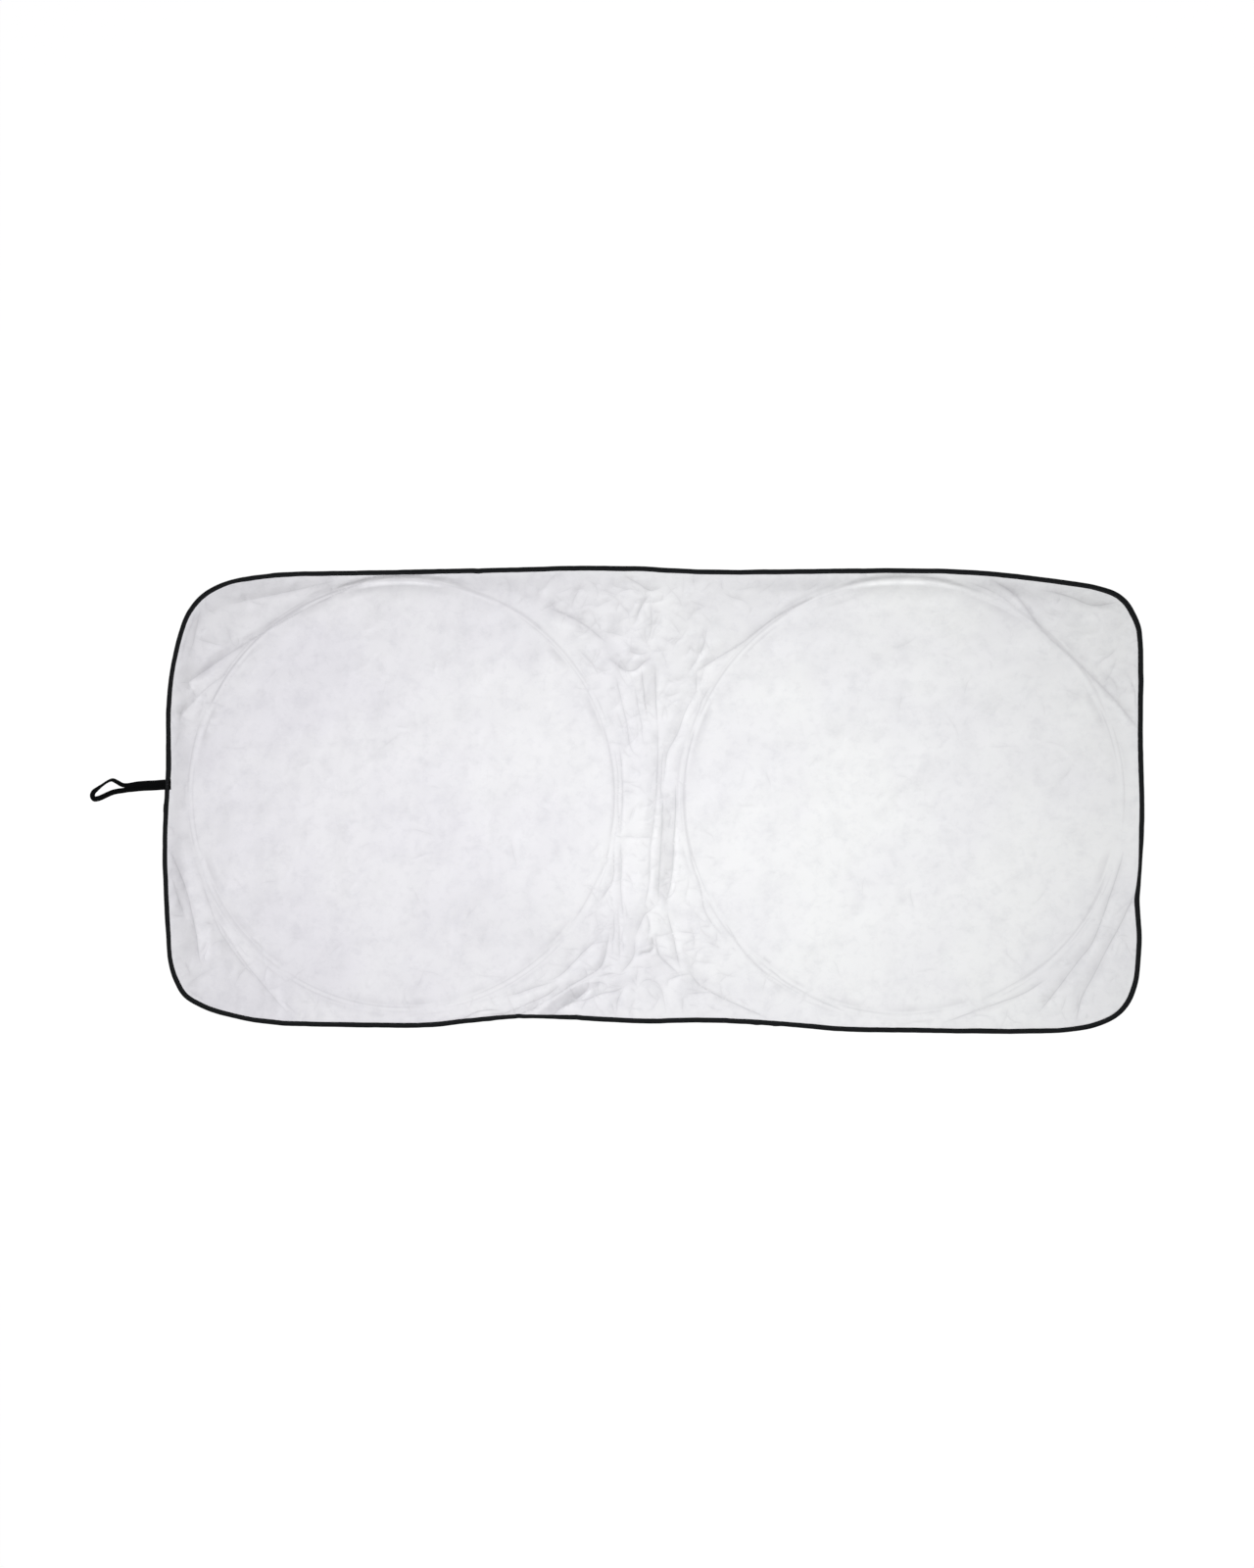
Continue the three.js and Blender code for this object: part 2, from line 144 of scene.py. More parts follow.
def addNode(tree, kind, inputs):
    # each input is a value, or the output of another node
    node = tree.nodes.new("ShaderNode" + kind)
    for name, value in inputs.items():
        if isinstance(value, bpy.types.NodeSocket):
            tree.links.new(value, node.inputs[name])
        else:
            node.inputs[name].default_value = value
    return node


def addCoordinates(tree, output, scale=(1, 1, 1)):
    source = addNode(tree, "TexCoord", {})
    mapping = addNode(tree, "Mapping", {"Vector": source.outputs[output], "Scale": scale})
    return mapping.outputs["Vector"]


def addNoise(tree, vector, scale, detail=2.0, roughness=0.5, distortion=0.0, kind="FBM"):
    inputs = {"Vector": vector, "Scale": scale, "Detail": detail}
    texture = addNode(tree, "TexNoise", inputs | {"Roughness": roughness, "Distortion": distortion})
    texture.noise_type = kind
    return texture.outputs["Fac"]


def addRamp(tree, value, stops):
    # a stop is its position and a colour or a grey
    ramp = addNode(tree, "ValToRGB", {"Fac": value})
    elements = ramp.color_ramp.elements
    while len(elements) < len(stops):
        elements.new(0.5)
    for element, (position, color) in zip(elements, stops):
        element.position = position
        element.color = (*color, 1) if isinstance(color, tuple) else (color, color, color, 1)
    return ramp.outputs["Color"]


def addMath(tree, operation, first, second):
    node = addNode(tree, "Math", {0: first, 1: second})
    node.operation = operation
    return node.outputs["Value"]


def addMix(tree, blend, factor, first, second):
    node = addNode(tree, "Mix", {})
    node.data_type = "RGBA"
    node.blend_type = blend
    kinds = ("VALUE", "RGBA", "RGBA")
    for name, kind, value in zip(("Factor", "A", "B"), kinds, (factor, first, second)):
        socket = next(s for s in node.inputs if s.name == name and s.type == kind)
        if isinstance(value, bpy.types.NodeSocket):
            tree.links.new(value, socket)
        else:
            socket.default_value = (*value, 1) if isinstance(value, tuple) else value
    return next(s for s in node.outputs if s.type == "RGBA")


def addBump(tree, shader, layers):
    # layers are (height socket, depth in metres), the coarsest first
    inputs = {}
    for height, depth in layers:
        bump = addNode(tree, "Bump", {"Height": height, "Distance": depth} | inputs)
        inputs = {"Normal": bump.outputs["Normal"]}
    tree.links.new(inputs["Normal"], shader.inputs["Normal"])


# noise in the looks is (scale per metre, detail, roughness, distortion), depths are in metres
clothLook = {
    # colour along the shade: lavender at the left end and darker towards the right end, where the
    # darkening is painted shade. Its ramp's positions are 0.7 apart for each metre of X, and X 0 is at
    # position 0.5.
    "rampRise": 0.7,
    "rampMiddle": 0.5,
    "colors": [
        (0.15, (0.8, 0.793, 0.823)), (0.7, (0.84, 0.845, 0.85)),
        (0.78, (0.84, 0.845, 0.85)), (1, (0.797, 0.802, 0.807)),
    ],
    # patches, smudges and blots, which the colour is multiplied by
    "soil": [
        ((5, 3), [(0.4, (0.965, 0.96, 0.975)), (0.6, 1)]),
        ((30, 6, 0.66, 0.25), [(0.48, 1), (0.7, (0.94, 0.94, 0.945))]),
        ((75, 5, 0.65, 0.3), [(0.5, 1), (0.72, (0.94, 0.94, 0.945))]),
    ],
    # painted shade: along creases, along the hoops and in bands, the colour is multiplied by this
    "line": (0.76, 0.755, 0.765),       # what the colour is multiplied by in a dark line
    "crumple": (48, 3, 0.45, 0.5),
    "crumpleDepth": 0.0006,
    "fibres": (900, 3, 0.65, 2.0),
    "fibreDepth": 0.00013,
    "bonds": 650,                       # bonding points per metre
    "bondChance": 0.15,
    "bondDepth": 0.0001,
    "shine": 0.25,
    "rough": [(0.3, 0.76), (0.7, 0.88)],
}


def makeClothMaterial():
    look = clothLook
    material, tree, shader = newMaterial("white_cloth", look["colors"][1][1], 0.82, specular=look["shine"])
    place = addCoordinates(tree, "Object")
    along = addNode(tree, "SeparateXYZ", {"Vector": place}).outputs["X"]
    along = addMath(tree, "ADD", addMath(tree, "MULTIPLY", along, look["rampRise"]), look["rampMiddle"])
    base = addRamp(tree, along, look["colors"])
    for grain, stops in look["soil"]:
        base = addMix(tree, "MULTIPLY", 1.0, base, addRamp(tree, addNoise(tree, place, *grain), stops))
    # painted shade: the cloth darkens by the attribute that the front panel carries along its lines and
    # bands
    marks = addNode(tree, "Attribute", {})
    marks.attribute_name = "paintedShade"
    dark = addMix(tree, "MULTIPLY", 1.0, base, look["line"])
    base = addMix(tree, "MIX", marks.outputs["Fac"], base, dark)
    tree.links.new(base, shader.inputs["Base Color"])
    crumpled = addNoise(tree, place, *look["crumple"], kind="RIDGED_MULTIFRACTAL")
    fibres = addNoise(tree, place, *look["fibres"])
    inputs = {"Vector": place, "Scale": look["bonds"], "Randomness": look["bondChance"]}
    bonds = addNode(tree, "TexVoronoi", inputs).outputs["Distance"]
    addBump(tree, shader, [
        (crumpled, look["crumpleDepth"]), (bonds, look["bondDepth"]), (fibres, look["fibreDepth"]),
    ])
    tree.links.new(addRamp(tree, fibres, look["rough"]), shader.inputs["Roughness"])
    return material


tapeLook = {
    "binding": {"dark": (0.0036, 0.0042, 0.0048), "worn": (0.0086, 0.0094, 0.0101), "shine": 0.09},
    "strap": {"dark": (0.0012, 0.0013, 0.0014), "worn": (0.0034, 0.0035, 0.0037), "shine": 0.035},
    # ribs per metre along the tape and yarns per metre across it, and how uneven they are
    "weave": {"X": (900, 0.4), "Y": (1100, 0.3)},
    "weaveShare": 0.25,
    "weaveDepth": 0.00022,
    "lint": (420, 4, 0.6),
    "lintDepth": 0.00008,
    "wear": (45, 3, 0.6),
    "wearDepth": 0.0006,
    "wearFrom": 0.2,
    "wearTo": 0.62,
    "rough": [(0.3, 0.7), (0.7, 0.88)],
}


def makeTapeMaterial(name, part):
    look, own = tapeLook, tapeLook[part]
    material, tree, shader = newMaterial(name, own["dark"], 0.8, specular=own["shine"])
    place = addCoordinates(tree, "UV")
    threads = []
    for direction, (count, uneven) in look["weave"].items():
        # a wave texture has 20 bands in a full turn
        inputs = {"Vector": place, "Scale": count * math.tau / 20, "Distortion": uneven}
        wave = addNode(tree, "TexWave", inputs)
        wave.bands_direction = direction
        threads.append(wave.outputs["Fac"])
    weave = addMath(tree, "MULTIPLY", *threads)
    solid = addCoordinates(tree, "Object")
    lint = addNoise(tree, solid, *look["lint"])
    worn = addNoise(tree, solid, *look["wear"])
    shade = addMath(tree, "MULTIPLY", lint, worn)
    shade = addMath(tree, "ADD", shade, addMath(tree, "MULTIPLY", weave, look["weaveShare"]))
    base = addRamp(tree, shade, [(look["wearFrom"], own["dark"]), (look["wearTo"], own["worn"])])
    tree.links.new(base, shader.inputs["Base Color"])
    tree.links.new(addRamp(tree, worn, look["rough"]), shader.inputs["Roughness"])
    layers = ((worn, "wearDepth"), (weave, "weaveDepth"), (lint, "lintDepth"))
    addBump(tree, shader, [(height, look[depth]) for height, depth in layers])
    return material


threadLook = {
    "color": (0.016, 0.017, 0.019),
    "strands": (2600, 2, 0.6, 1.5),
    "stops": [(0.3, (0.012, 0.013, 0.015)), (0.7, (0.03, 0.031, 0.034))],
    "depth": 0.00008,
}


def makeThreadMaterial():
    material, tree, shader = newMaterial("black_thread", threadLook["color"], 0.6, specular=0.3)
    strands = addNoise(tree, addCoordinates(tree, "Object"), *threadLook["strands"])
    tree.links.new(addRamp(tree, strands, threadLook["stops"]), shader.inputs["Base Color"])
    addBump(tree, shader, [(strands, threadLook["depth"])])
    return material


steelLook = {
    # colour, roughness and flecks per metre
    "rolled_spring_steel": ((0.42, 0.43, 0.45), 0.34, 260),
    "zinc_plated_steel": ((0.62, 0.63, 0.65), 0.3, 420),
    "dull": 0.8,                # brightness of the dull flecks
    "roughSpan": (-0.08, 0.1),
    "grain": (60, 60, 2400),
    "grainDepth": 0.00003,
}


def makeSteelMaterial(name):
    color, roughness, flecks = steelLook[name]
    material, tree, shader = newMaterial(name, color, roughness, metallic=1.0)
    marks = addNoise(tree, addCoordinates(tree, "Object"), flecks, 4, 0.6, 0.4)
    grain = addNoise(tree, addCoordinates(tree, "Object", steelLook["grain"]), 4, 3)
    dull = tuple(steelLook["dull"] * part for part in color)
    base = addRamp(tree, marks, [(0.3, dull), (0.7, color)])
    tree.links.new(base, shader.inputs["Base Color"])
    low, high = (roughness + change for change in steelLook["roughSpan"])
    tree.links.new(addRamp(tree, marks, [(0.3, high), (0.7, low)]), shader.inputs["Roughness"])
    addBump(tree, shader, [(grain, steelLook["grainDepth"])])
    return material


clothMaterial = makeClothMaterial()
tapeMaterial = makeTapeMaterial("black_edge_tape", "binding")
strapMaterial = makeTapeMaterial("black_loop_tape", "strap")
threadMaterial = makeThreadMaterial()
springMaterial = makeSteelMaterial("rolled_spring_steel")
sleeveMaterial = makeSteelMaterial("zinc_plated_steel")
print("materials made")


# the shade's outer edge, clockwise from its left end. A corner place is (in from the end, in
# from the side), and a side place is (share of the half size, in from the side).
edge = {
    "halfLength": 750,
    "halfWidth": 355,
    "step": 4,
    "blockSize": 2000,       # points that are measured at a time
    "leftSide": [(-0.2, 0), (0.13, 5), (0.4, 6)],
    "topLeftCorner": [(13, 151), (29, 88), (43, 60), (68, 35), (114, 17), (175, 8)],
    "topSide": [(-0.56, 5), (-0.28, 2), (-0.14, 0), (0, 2), (0.12, 7), (0.52, 7), (0.67, 11)],
    "topRightCorner": [(128, 25), (70, 35), (41, 45), (23, 60), (12, 79), (5, 98), (2, 127)],
    "rightSide": [(0.25, 2), (-0.1, 0), (-0.44, 6), (-0.6, 4)],
    "bottomRightCorner": [(6, 103), (10, 76), (21, 47), (41, 25), (70, 11), (121, 2)],
    "bottomSide": [
        (0.52, 0), (0.4, 1), (0.28, 8), (0.12, 13), (0, 11), (-0.08, 13),
        (-0.2, 17), (-0.28, 16), (-0.36, 10), (-0.44, 3), (-0.6, 2),
    ],
    "bottomLeftCorner": [(175, 5), (114, 14), (59, 31), (32, 48), (17, 73), (9, 103), (4, 164)],
}


def edgePlaces():
    length, width = edge["halfLength"], edge["halfWidth"]

    def corner(endSign, sideSign, name):
        return [(endSign * (length - end), sideSign * (width - side)) for end, side in edge[name]]

    def longSide(sign, name):
        return [(share * length, sign * (width - inset)) for share, inset in edge[name]]

    def shortSide(sign, name):
        return [(sign * (length - inset), share * width) for share, inset in edge[name]]

    return (
        shortSide(-1, "leftSide") + corner(-1, 1, "topLeftCorner") + longSide(1, "topSide")
        + corner(1, 1, "topRightCorner") + shortSide(1, "rightSide")
        + corner(1, -1, "bottomRightCorner") + longSide(-1, "bottomSide")
        + corner(-1, -1, "bottomLeftCorner")
    )


edgeLine = smoothLine(edgePlaces(), spacing=edge["step"], closed=True)
edgeInward = -leftOf(unitRows(np.roll(edgeLine, -1, axis=0) - np.roll(edgeLine, 1, axis=0)))
edgeAround = travelAlong(closeUp(edgeLine))     # its last value is the whole way round
edgeTravel = edgeAround[:-1]


def distanceFromEdge(points):
    # how far in from the outer edge each point lies, and the edge's nearest station
    blocks = np.array_split(points, math.ceil(len(points) / edge["blockSize"]))
    station = np.concatenate([
        ((block[:, None] - edgeLine[None]) ** 2).sum(2).argmin(1) for block in blocks
    ])
    return ((points - edgeLine[station]) * edgeInward[station]).sum(1), station


def waver(values, size, seed):
    # smooth noise from about -1 to 1 along one line
    return np.array([noise.noise(Vector((value / size, seed, 0.5 * seed))) for value in values]) * 1.6


# panels
panel = {
    "thickness": 0.3,
    "rimInset": 1.2,
    "rimGap": 1.5,           # least way from the rim to the other points
    "hemInset": 8.2,         # just inside the binding's inner edge
    "frontLevel": 1.3,       # underside of the front panel where it lies flat
    "sink": 0.35,            # how far the front panel may hang below that
    "fade": 30,              # way in from the hem over which the relief grows
    "waveHeight": 1.4,
    "waveLength": 190,
    "puckerHeight": 0.55,
    "puckerLength": 15,
    "puckerDepth": 8,
    "crumples": [(60, 1.5), (26, 0.7)],      # size and height
    "looseCrumples": [(55, 1.7), (24, 0.9)],
    "looseSpan": (-6, 30),       # way out from a hoop over which the cloth gets loose
    "crumpleSpan": (2, 22),      # way from a hoop over which the crumple grows
    "reliefSpan": (4, 30),       # the same for the whole relief
    "reliefAtHoop": 0.35,
    "edgeRows": (4.5, 7.5, 10, 14, 20),
    "edgeRowGap": 3,
    "lineGap": 1.1,
    "sideGap": 2,
    "lattice": 7.6,
    "latticeGap": 5.7,
    "latticeBend": 9,
    "latticeShift": 0.35,        # share of the lattice's spacing
}

rear = {
    "edgeLevel": 0.7,
    "rise": 10,
    "crumples": [(60, 0.4)],
    "crumpleTop": 0.22,
    "edgeRows": (7.5, 12, 17.5),
    "edgeRowGap": 3.5,
    "lattice": 15,
    "latticeGap": 9,
}

hoops = {
    "radius": 330,
    "centres": [(-375, 5), (386, 0)],
    "spacing": 4,
    "rows": (-20, -9, -5.2, -3.9, -1.2, 1.2, 3.9, 5.2, 9, 20),
    # how the cloth stands over a hoop: distance out from its ring, and height
    "tent": [
        (-180, 0), (-100, 1.3), (-40, 2.6), (-14, 3.4), (-5, 3.8), (-2.2, 4), (0, 4.05),
        (2.2, 4), (5, 3.75), (14, 3.1), (35, 1.9), (70, 0.7), (110, 0),
    ],
    # least height of the cloth: distance from the ring, and height
    "clear": [(2.2, 3.95), (9, 0)],
    "clearFrom": (-1, 1.5),      # way in from the hem over which it begins
    # lines along the ring: distance out, greatest height, width, length of its changes, painted shade
    "lines": [(0, 0.22, 3.9, 150, 0), (-9, 0.35, 3, 70, 0.55), (9.5, 0.3, 3, 55, 0.45)],
    "wander": 3,                 # of the lines beside the ring
    "wanderLength": 60,
    "lineWidth": 1.3,
    "lineReach": 8,
    "feet": (-3.7, 3.7),
    # painted shade along both feet of the cloth's ridge over each hoop
    "paintedFootShade": 0.48,
    "footLength": 75,
    # lines of painted shade along part of a ring: ring, from and to in degrees, distance out, shade
    "arcs": [
        (0, 98, 158, -1.2, 1.0), (0, 62, 98, -1.2, 0.6), (0, 28, 78, 1.2, 0.5), (0, -14, 22, -3.9, 0.6),
        (0, 206, 238, -1.2, 0.35), (1, 118, 160, -1.2, 0.6), (1, 160, 200, -1.2, 0.7),
        (1, 205, 232, 1.2, 0.4), (1, 300, 340, -1.2, 0.5), (1, 20, 62, 1.2, 0.35),
    ],
    "arcWidth": 1.6,
    "arcFade": 6,                # degrees
}

# creases of the front panel: rise, widths to the left and right of the line, and its places.
# The left is the left-hand side of someone who walks along the line.
creases = [
    # round the left hoop
    (1.2, 7, 14, [(-713, 175), (-638, 226), (-535, 285), (-424, 337)]),
    (0.7, 6, 8, [(-726, 120), (-680, 168), (-630, 205)]),
    (0.6, 7, 7, [(-640, 300), (-560, 316), (-480, 334)]),
    (0.6, 8, 5, [(-693, 295), (-710, 252), (-724, 205)]),
    (0.5, 5, 5, [(-690, 295), (-698, 252), (-708, 219)]),
    (0.6, 5, 6, [(-693, 245), (-674, 240), (-653, 235)]),
    (0.7, 7, 6, [(-475, 324), (-408, 341), (-346, 342)]),
    (1.8, 12, 12, [(-739, -79), (-713, -138), (-698, -197), (-690, -257)]),
    (1.0, 6, 8, [(-736, -120), (-722, -162), (-713, -182)]),
    (0.6, 4, 4, [(-736, -182), (-711, -183)]),
    (0.8, 6, 10, [(-667, -182), (-624, -247), (-576, -305), (-553, -332)]),
    (0.7, 12, 12, [(-688, -130), (-658, -206), (-602, -281)]),
    # bottom left of the middle
    (1.2, 10, 5, [(-308, -341), (-281, -337), (-251, -326), (-219, -324)]),
    (1.0, 5, 7, [(-216, -302), (-196, -299), (-166, -288), (-138, -280)]),
    (1.3, 5, 9, [(-240, -330), (-216, -329), (-178, -313), (-151, -301), (-133, -285)]),
    (1.2, 8, 4, [(-147, -279), (-132, -271), (-109, -249), (-96, -235), (-73, -215)]),
    (1.3, 5, 7, [(-156, -312), (-114, -286), (-91, -272), (-69, -256), (-59, -221), (-56, -203)]),
    (5.5, 11, 3, [(-170, -336), (-144, -331), (-125, -317), (-106, -306), (-94, -297), (-87, -288)]),
    (1.6, 9, 4, [(-218, -332), (-189, -329), (-166, -318), (-150, -306)]),
    (1.3, 7, 6, [(-117, -310), (-91, -307), (-69, -298), (-44, -293), (-28, -284)]),
    (0.8, 4, 5, [(-82, -283), (-66, -283), (-59, -289)]),
    (1.1, 6, 6, [(-76, -271), (-58, -269), (-41, -269)]),
    (0.8, 5, 6, [(-66, -259), (-49, -254)]),
    (0.9, 5, 5, [(-33, -287), (-41, -305), (-46, -331)]),
    (0.6, 5, 5, [(-91, -308), (-99, -323)]),
    # upright lines at the left of the middle
    (0.9, 4, 6, [(-49, -70), (-50, -113), (-56, -134), (-73, -160)]),
    (0.6, 5, 5, [(-56, -64), (-61, -97), (-72, -128)]),
    (0.8, 5, 5, [(-39, -68), (-37, -107), (-39, -140), (-33, -188)]),
    (0.7, 5, 5, [(-49, -170), (-49, -203), (-52, -241)]),
    (0.6, 4, 4, [(-43, -166), (-41, -211), (-41, -256)]),
    (0.9, 4, 6, [(-41, 78), (-37, 44), (-36, -9), (-39, -57)]),
    (0.7, 5, 5, [(-49, 72), (-43, 36), (-43, -12), (-40, -57)]),
    # middle
    (1.0, 6, 8, [(-39, 343), (-12, 327), (8, 316), (24, 322)]),
    (0.9, 5, 3, [(6, 313), (-7, 292), (-18, 267)]),
    (0.5, 6, 6, [(6, 303), (8, 261), (0, 231)]),
    (1.5, 8, 5, [(-56, 212), (-33, 195), (-19, 194), (-1, 208), (8, 214)]),
    (0.8, 5, 5, [(-28, 224), (-9, 219), (3, 223)]),
    (1.2, 15, 13, [(-150, 292), (-102, 270), (-59, 237)]),
    (0.8, 5, 6, [(-105, 227), (-87, 210), (-69, 186)]),
    (0.7, 5, 7, [(-46, 186), (-37, 146), (-30, 114), (-21, 72), (-6, 60)]),
    (0.6, 7, 7, [(-18, 171), (-10, 126), (-3, 81)]),
    (1.2, 10, 7, [(-7, 201), (-4, 164), (3, 119)]),
    (1.0, 6, 9, [(14, 201), (15, 153), (17, 108)]),
    (0.8, 4, 8, [(18, 111), (17, 32), (12, -36), (6, -80), (5, -122), (-3, -166)]),
    (0.7, 5, 5, [(27, 74), (23, 29), (23, -9)]),
    (2.1, 4, 14, [(45, 21), (45, -24), (42, -76), (39, -121), (33, -151)]),
    (0.7, 4, 6, [(26, 12), (24, -53), (21, -106), (18, -166)]),
    (0.5, 4, 4, [(-41, -58), (-15, -59), (24, -62)]),
    (-0.6, 5, 5, [(-46, -58), (-36, -61)]),
    (0.9, 5, 8, [(77, 192), (75, 159), (63, 139), (54, 117), (47, 96), (33, 69), (26, 21)]),
    (1.0, 6, 6, [(99, 171), (84, 145), (77, 126)]),
    (1.5, 8, 10, [(77, 193), (99, 207), (142, 233), (191, 270), (263, 309)]),
    (0.8, 5, 5, [(93, 260), (84, 223), (60, 186)]),
    # the knot below the middle
    (0.9, 6, 6, [(20, -160), (8, -170), (-3, -179), (-10, -194), (-16, -212)]),
    (0.6, 5, 4, [(46, -128), (40, -146), (24, -157)]),
    (1.1, 5, 7, [(-16, -211), (-19, -241), (-30, -257), (-41, -268)]),
    (2.2, 3, 4, [(-15, -241), (-6, -235), (5, -233), (14, -226)]),
    (1.2, 4, 4, [(6, -211), (9, -221), (14, -227)]),
    (1.0, 4, 5, [(-1, -173), (5, -196), (2, -211)]),
    (1.5, 6, 8, [(15, -206), (20, -236), (32, -252), (54, -270)]),
    (1.3, 6, 5, [(32, -173), (38, -197), (45, -228), (51, -261)]),
    (1.0, 4, 4, [(29, -278), (50, -270), (69, -267)]),
    (1.5, 5, 8, [(65, -263), (80, -282), (99, -295), (123, -307), (184, -334)]),
    (0.9, 5, 6, [(60, -299), (89, -294), (105, -297)]),
    (0.7, 5, 5, [(57, -302), (56, -329)]),
    (0.7, 5, 6, [(47, -201), (80, -206)]),
    (0.7, 5, 5, [(92, -219), (115, -230)]),
    (0.6, 8, 8, [(-15, -293), (0, -278), (18, -284), (30, -323)]),
    (0.9, 6, 8, [(65, -80), (71, -103), (83, -140), (90, -173), (112, -206)]),
    # round the right hoop
    (2.0, 12, 12, [(526, 328), (556, 307), (605, 244), (643, 210), (699, 154), (738, 108)]),
    (1.2, 10, 14, [(595, 314), (633, 305), (674, 290), (713, 296)]),
    (0.7, 8, 8, [(490, 325), (525, 311), (563, 282)]),
    (0.8, 5, 6, [(722, 189), (735, 161), (738, 132)]),
    (1.7, 9, 10, [(738, -138), (718, -180), (693, -227), (671, -271), (654, -305), (649, -338)]),
    (1.2, 7, 8, [(719, -82), (699, -143), (671, -218), (652, -243), (624, -281), (591, -324)]),
    (0.8, 5, 5, [(591, -307), (607, -301), (622, -295)]),
    (1.2, 7, 8, [(603, -272), (569, -294), (522, -312), (451, -339)]),
    (0.8, 8, 7, [(168, -246), (223, -286), (268, -309), (303, -324)]),
    (0.9, 6, 6, [(120, -188), (150, -235), (194, -277)]),
]

# bands of painted shade in folds and hollows of the cloth, one of them broad and soft: shade, half width,
# softness of its edge, and its places
bands = [
    (0.6, 8.5, 2.5, [(-163, -332), (-138, -317), (-121, -306), (-106, -296), (-92, -289), (-74, -284)]),
    (0.5, 3.2, 3, [(-205, -328), (-192, -325), (-179, -320), (-163, -309)]),
    (0.4, 4, 4, [(-250, -333), (-225, -334), (-200, -334), (-170, -336)]),
    (0.3, 7, 9, [(-700, 182), (-658, 212), (-637, 228), (-605, 248)]),
    (0.3, 4, 4, [(-622, 245), (-573, 271), (-549, 282), (-531, 297), (-512, 312), (-470, 322)]),
    (0.2, 8, 9, [(-720, 330), (-640, 326), (-560, 336)]),
    (0.32, 5, 7, [(505, 340), (556, 307), (605, 244), (643, 210), (699, 154), (738, 108)]),
    (0.34, 10, 7, [(34, 5), (33, -50), (31, -105), (28, -165)]),
    (0.26, 11, 9, [(5, 210), (5, 175), (6, 140)]),
    (0.24, 10, 11, [(-150, 290), (-102, 268), (-62, 236), (-36, 192)]),
    (0.16, 6, 8, [(-210, 318), (-150, 300), (-80, 282)]),
    (0.2, 9, 8, [(-10, -160), (-19, -200), (-30, -240)]),
    (0.22, 6, 7, [(8, -262), (45, -240), (70, -262), (110, -290)]),
    (0.15, 6, 7, [(84, 200), (142, 236), (191, 272), (250, 304)]),
    (0.17, 50, 120, [(-330, -175), (-180, -200), (-10, -230)]),
]

creaseMesh = {
    "step": 4,
    "foot": 1.7,                # reach of a crease, in shares of its width
    "crestRow": 1.2,
    "sharpRise": 1.15,          # creases above this rise have a sharp foot too
    "fade": 24,                 # length over which a crease runs out at each end
    "rise": 1.5,                # what the rises in the list are multiplied by
    "fadeShare": 0.4,           # that length's share of the crease, at most
    "fadeStart": -0.3,
    # painted shade along each crease's crest, darker for higher creases
    "lineWidth": 1.2,           # of the darker line along a crease
    "lineShade": (0.25, 0.55),  # its shade, and how much it gains with the rise
    "sideRow": 0.6,             # place of the row of points between crest and foot
    "bandEnds": 0.9,            # how far a band narrows at its ends
    "softest": 20,              # bands with softer edges get no points of their own
    "wander": [(34, 1.6), (13, 0.8)],   # length and size of a line's bends
    "straightFrom": 45,         # longer lines bend less
    "smallCount": 430,
    "middleShare": 0.2,         # share of the small creases that lies between the hoops
    "middleWidth": 110,
    "smallReach": (735, 335),   # half the room that the small creases lie in
    "hoopRoom": 12,             # way from a hoop that they keep free
    "tautShare": 0.12,          # share of them that is kept inside the hoops
    "tautRise": 0.5,            # what their rise is multiplied by there
    "smallBend": 0.3,
    "smallSteps": 3,
    "smallLength": (10, 50),
    "smallRise": (0.08, 0.42),
    "smallWidth": (2.5, 6),
}


def smallCreases():
    # short creases all over the loose cloth, and a few faint ones in the two discs
    chance = random.Random(5)
    width, depth = creaseMesh["smallReach"]
    room, steps = creaseMesh["hoopRoom"], creaseMesh["smallSteps"]
    made = []
    while len(made) < creaseMesh["smallCount"]:
        middle = chance.random() < creaseMesh["middleShare"]
        reach = creaseMesh["middleWidth"] if middle else width
        x = chance.uniform(-reach, reach)
        y = chance.uniform(-depth, depth)
        away = min(math.hypot(x - cx, y - cy) - hoops["radius"] for cx, cy in hoops["centres"])
        taut = away < -room
        if abs(away) <= room or taut and chance.random() > creaseMesh["tautShare"]:
            continue
        length = chance.uniform(*creaseMesh["smallLength"])
        heading = chance.uniform(0, math.tau)
        places = [(x, y)]
        for _ in range(steps):
            heading += chance.gauss(0, creaseMesh["smallBend"])
            x += math.cos(heading) * length / steps
            y += math.sin(heading) * length / steps
            places.append((x, y))
        rise = chance.uniform(*creaseMesh["smallRise"]) * (creaseMesh["tautRise"] if taut else 1)
        widths = [chance.uniform(*creaseMesh["smallWidth"]) for _ in range(2)]
        made.append((rise, *widths, places))
    return made


def creaseLines():
    lines = []
    for number, (rise, left, right, places) in enumerate(creases + smallCreases()):
        line = smoothLine(places, spacing=creaseMesh["step"])
        travel = creaseMesh["step"] * np.arange(len(line))
        wander = sum(size * waver(travel, length, number) for length, size in creaseMesh["wander"])
        wander *= min(1, creaseMesh["straightFrom"] / travel[-1])
        line = line + leftOf(headings(line)) * wander[:, None]
        lines.append((rise, left, right, line, headings(line)))
    return lines


foldLines = creaseLines()


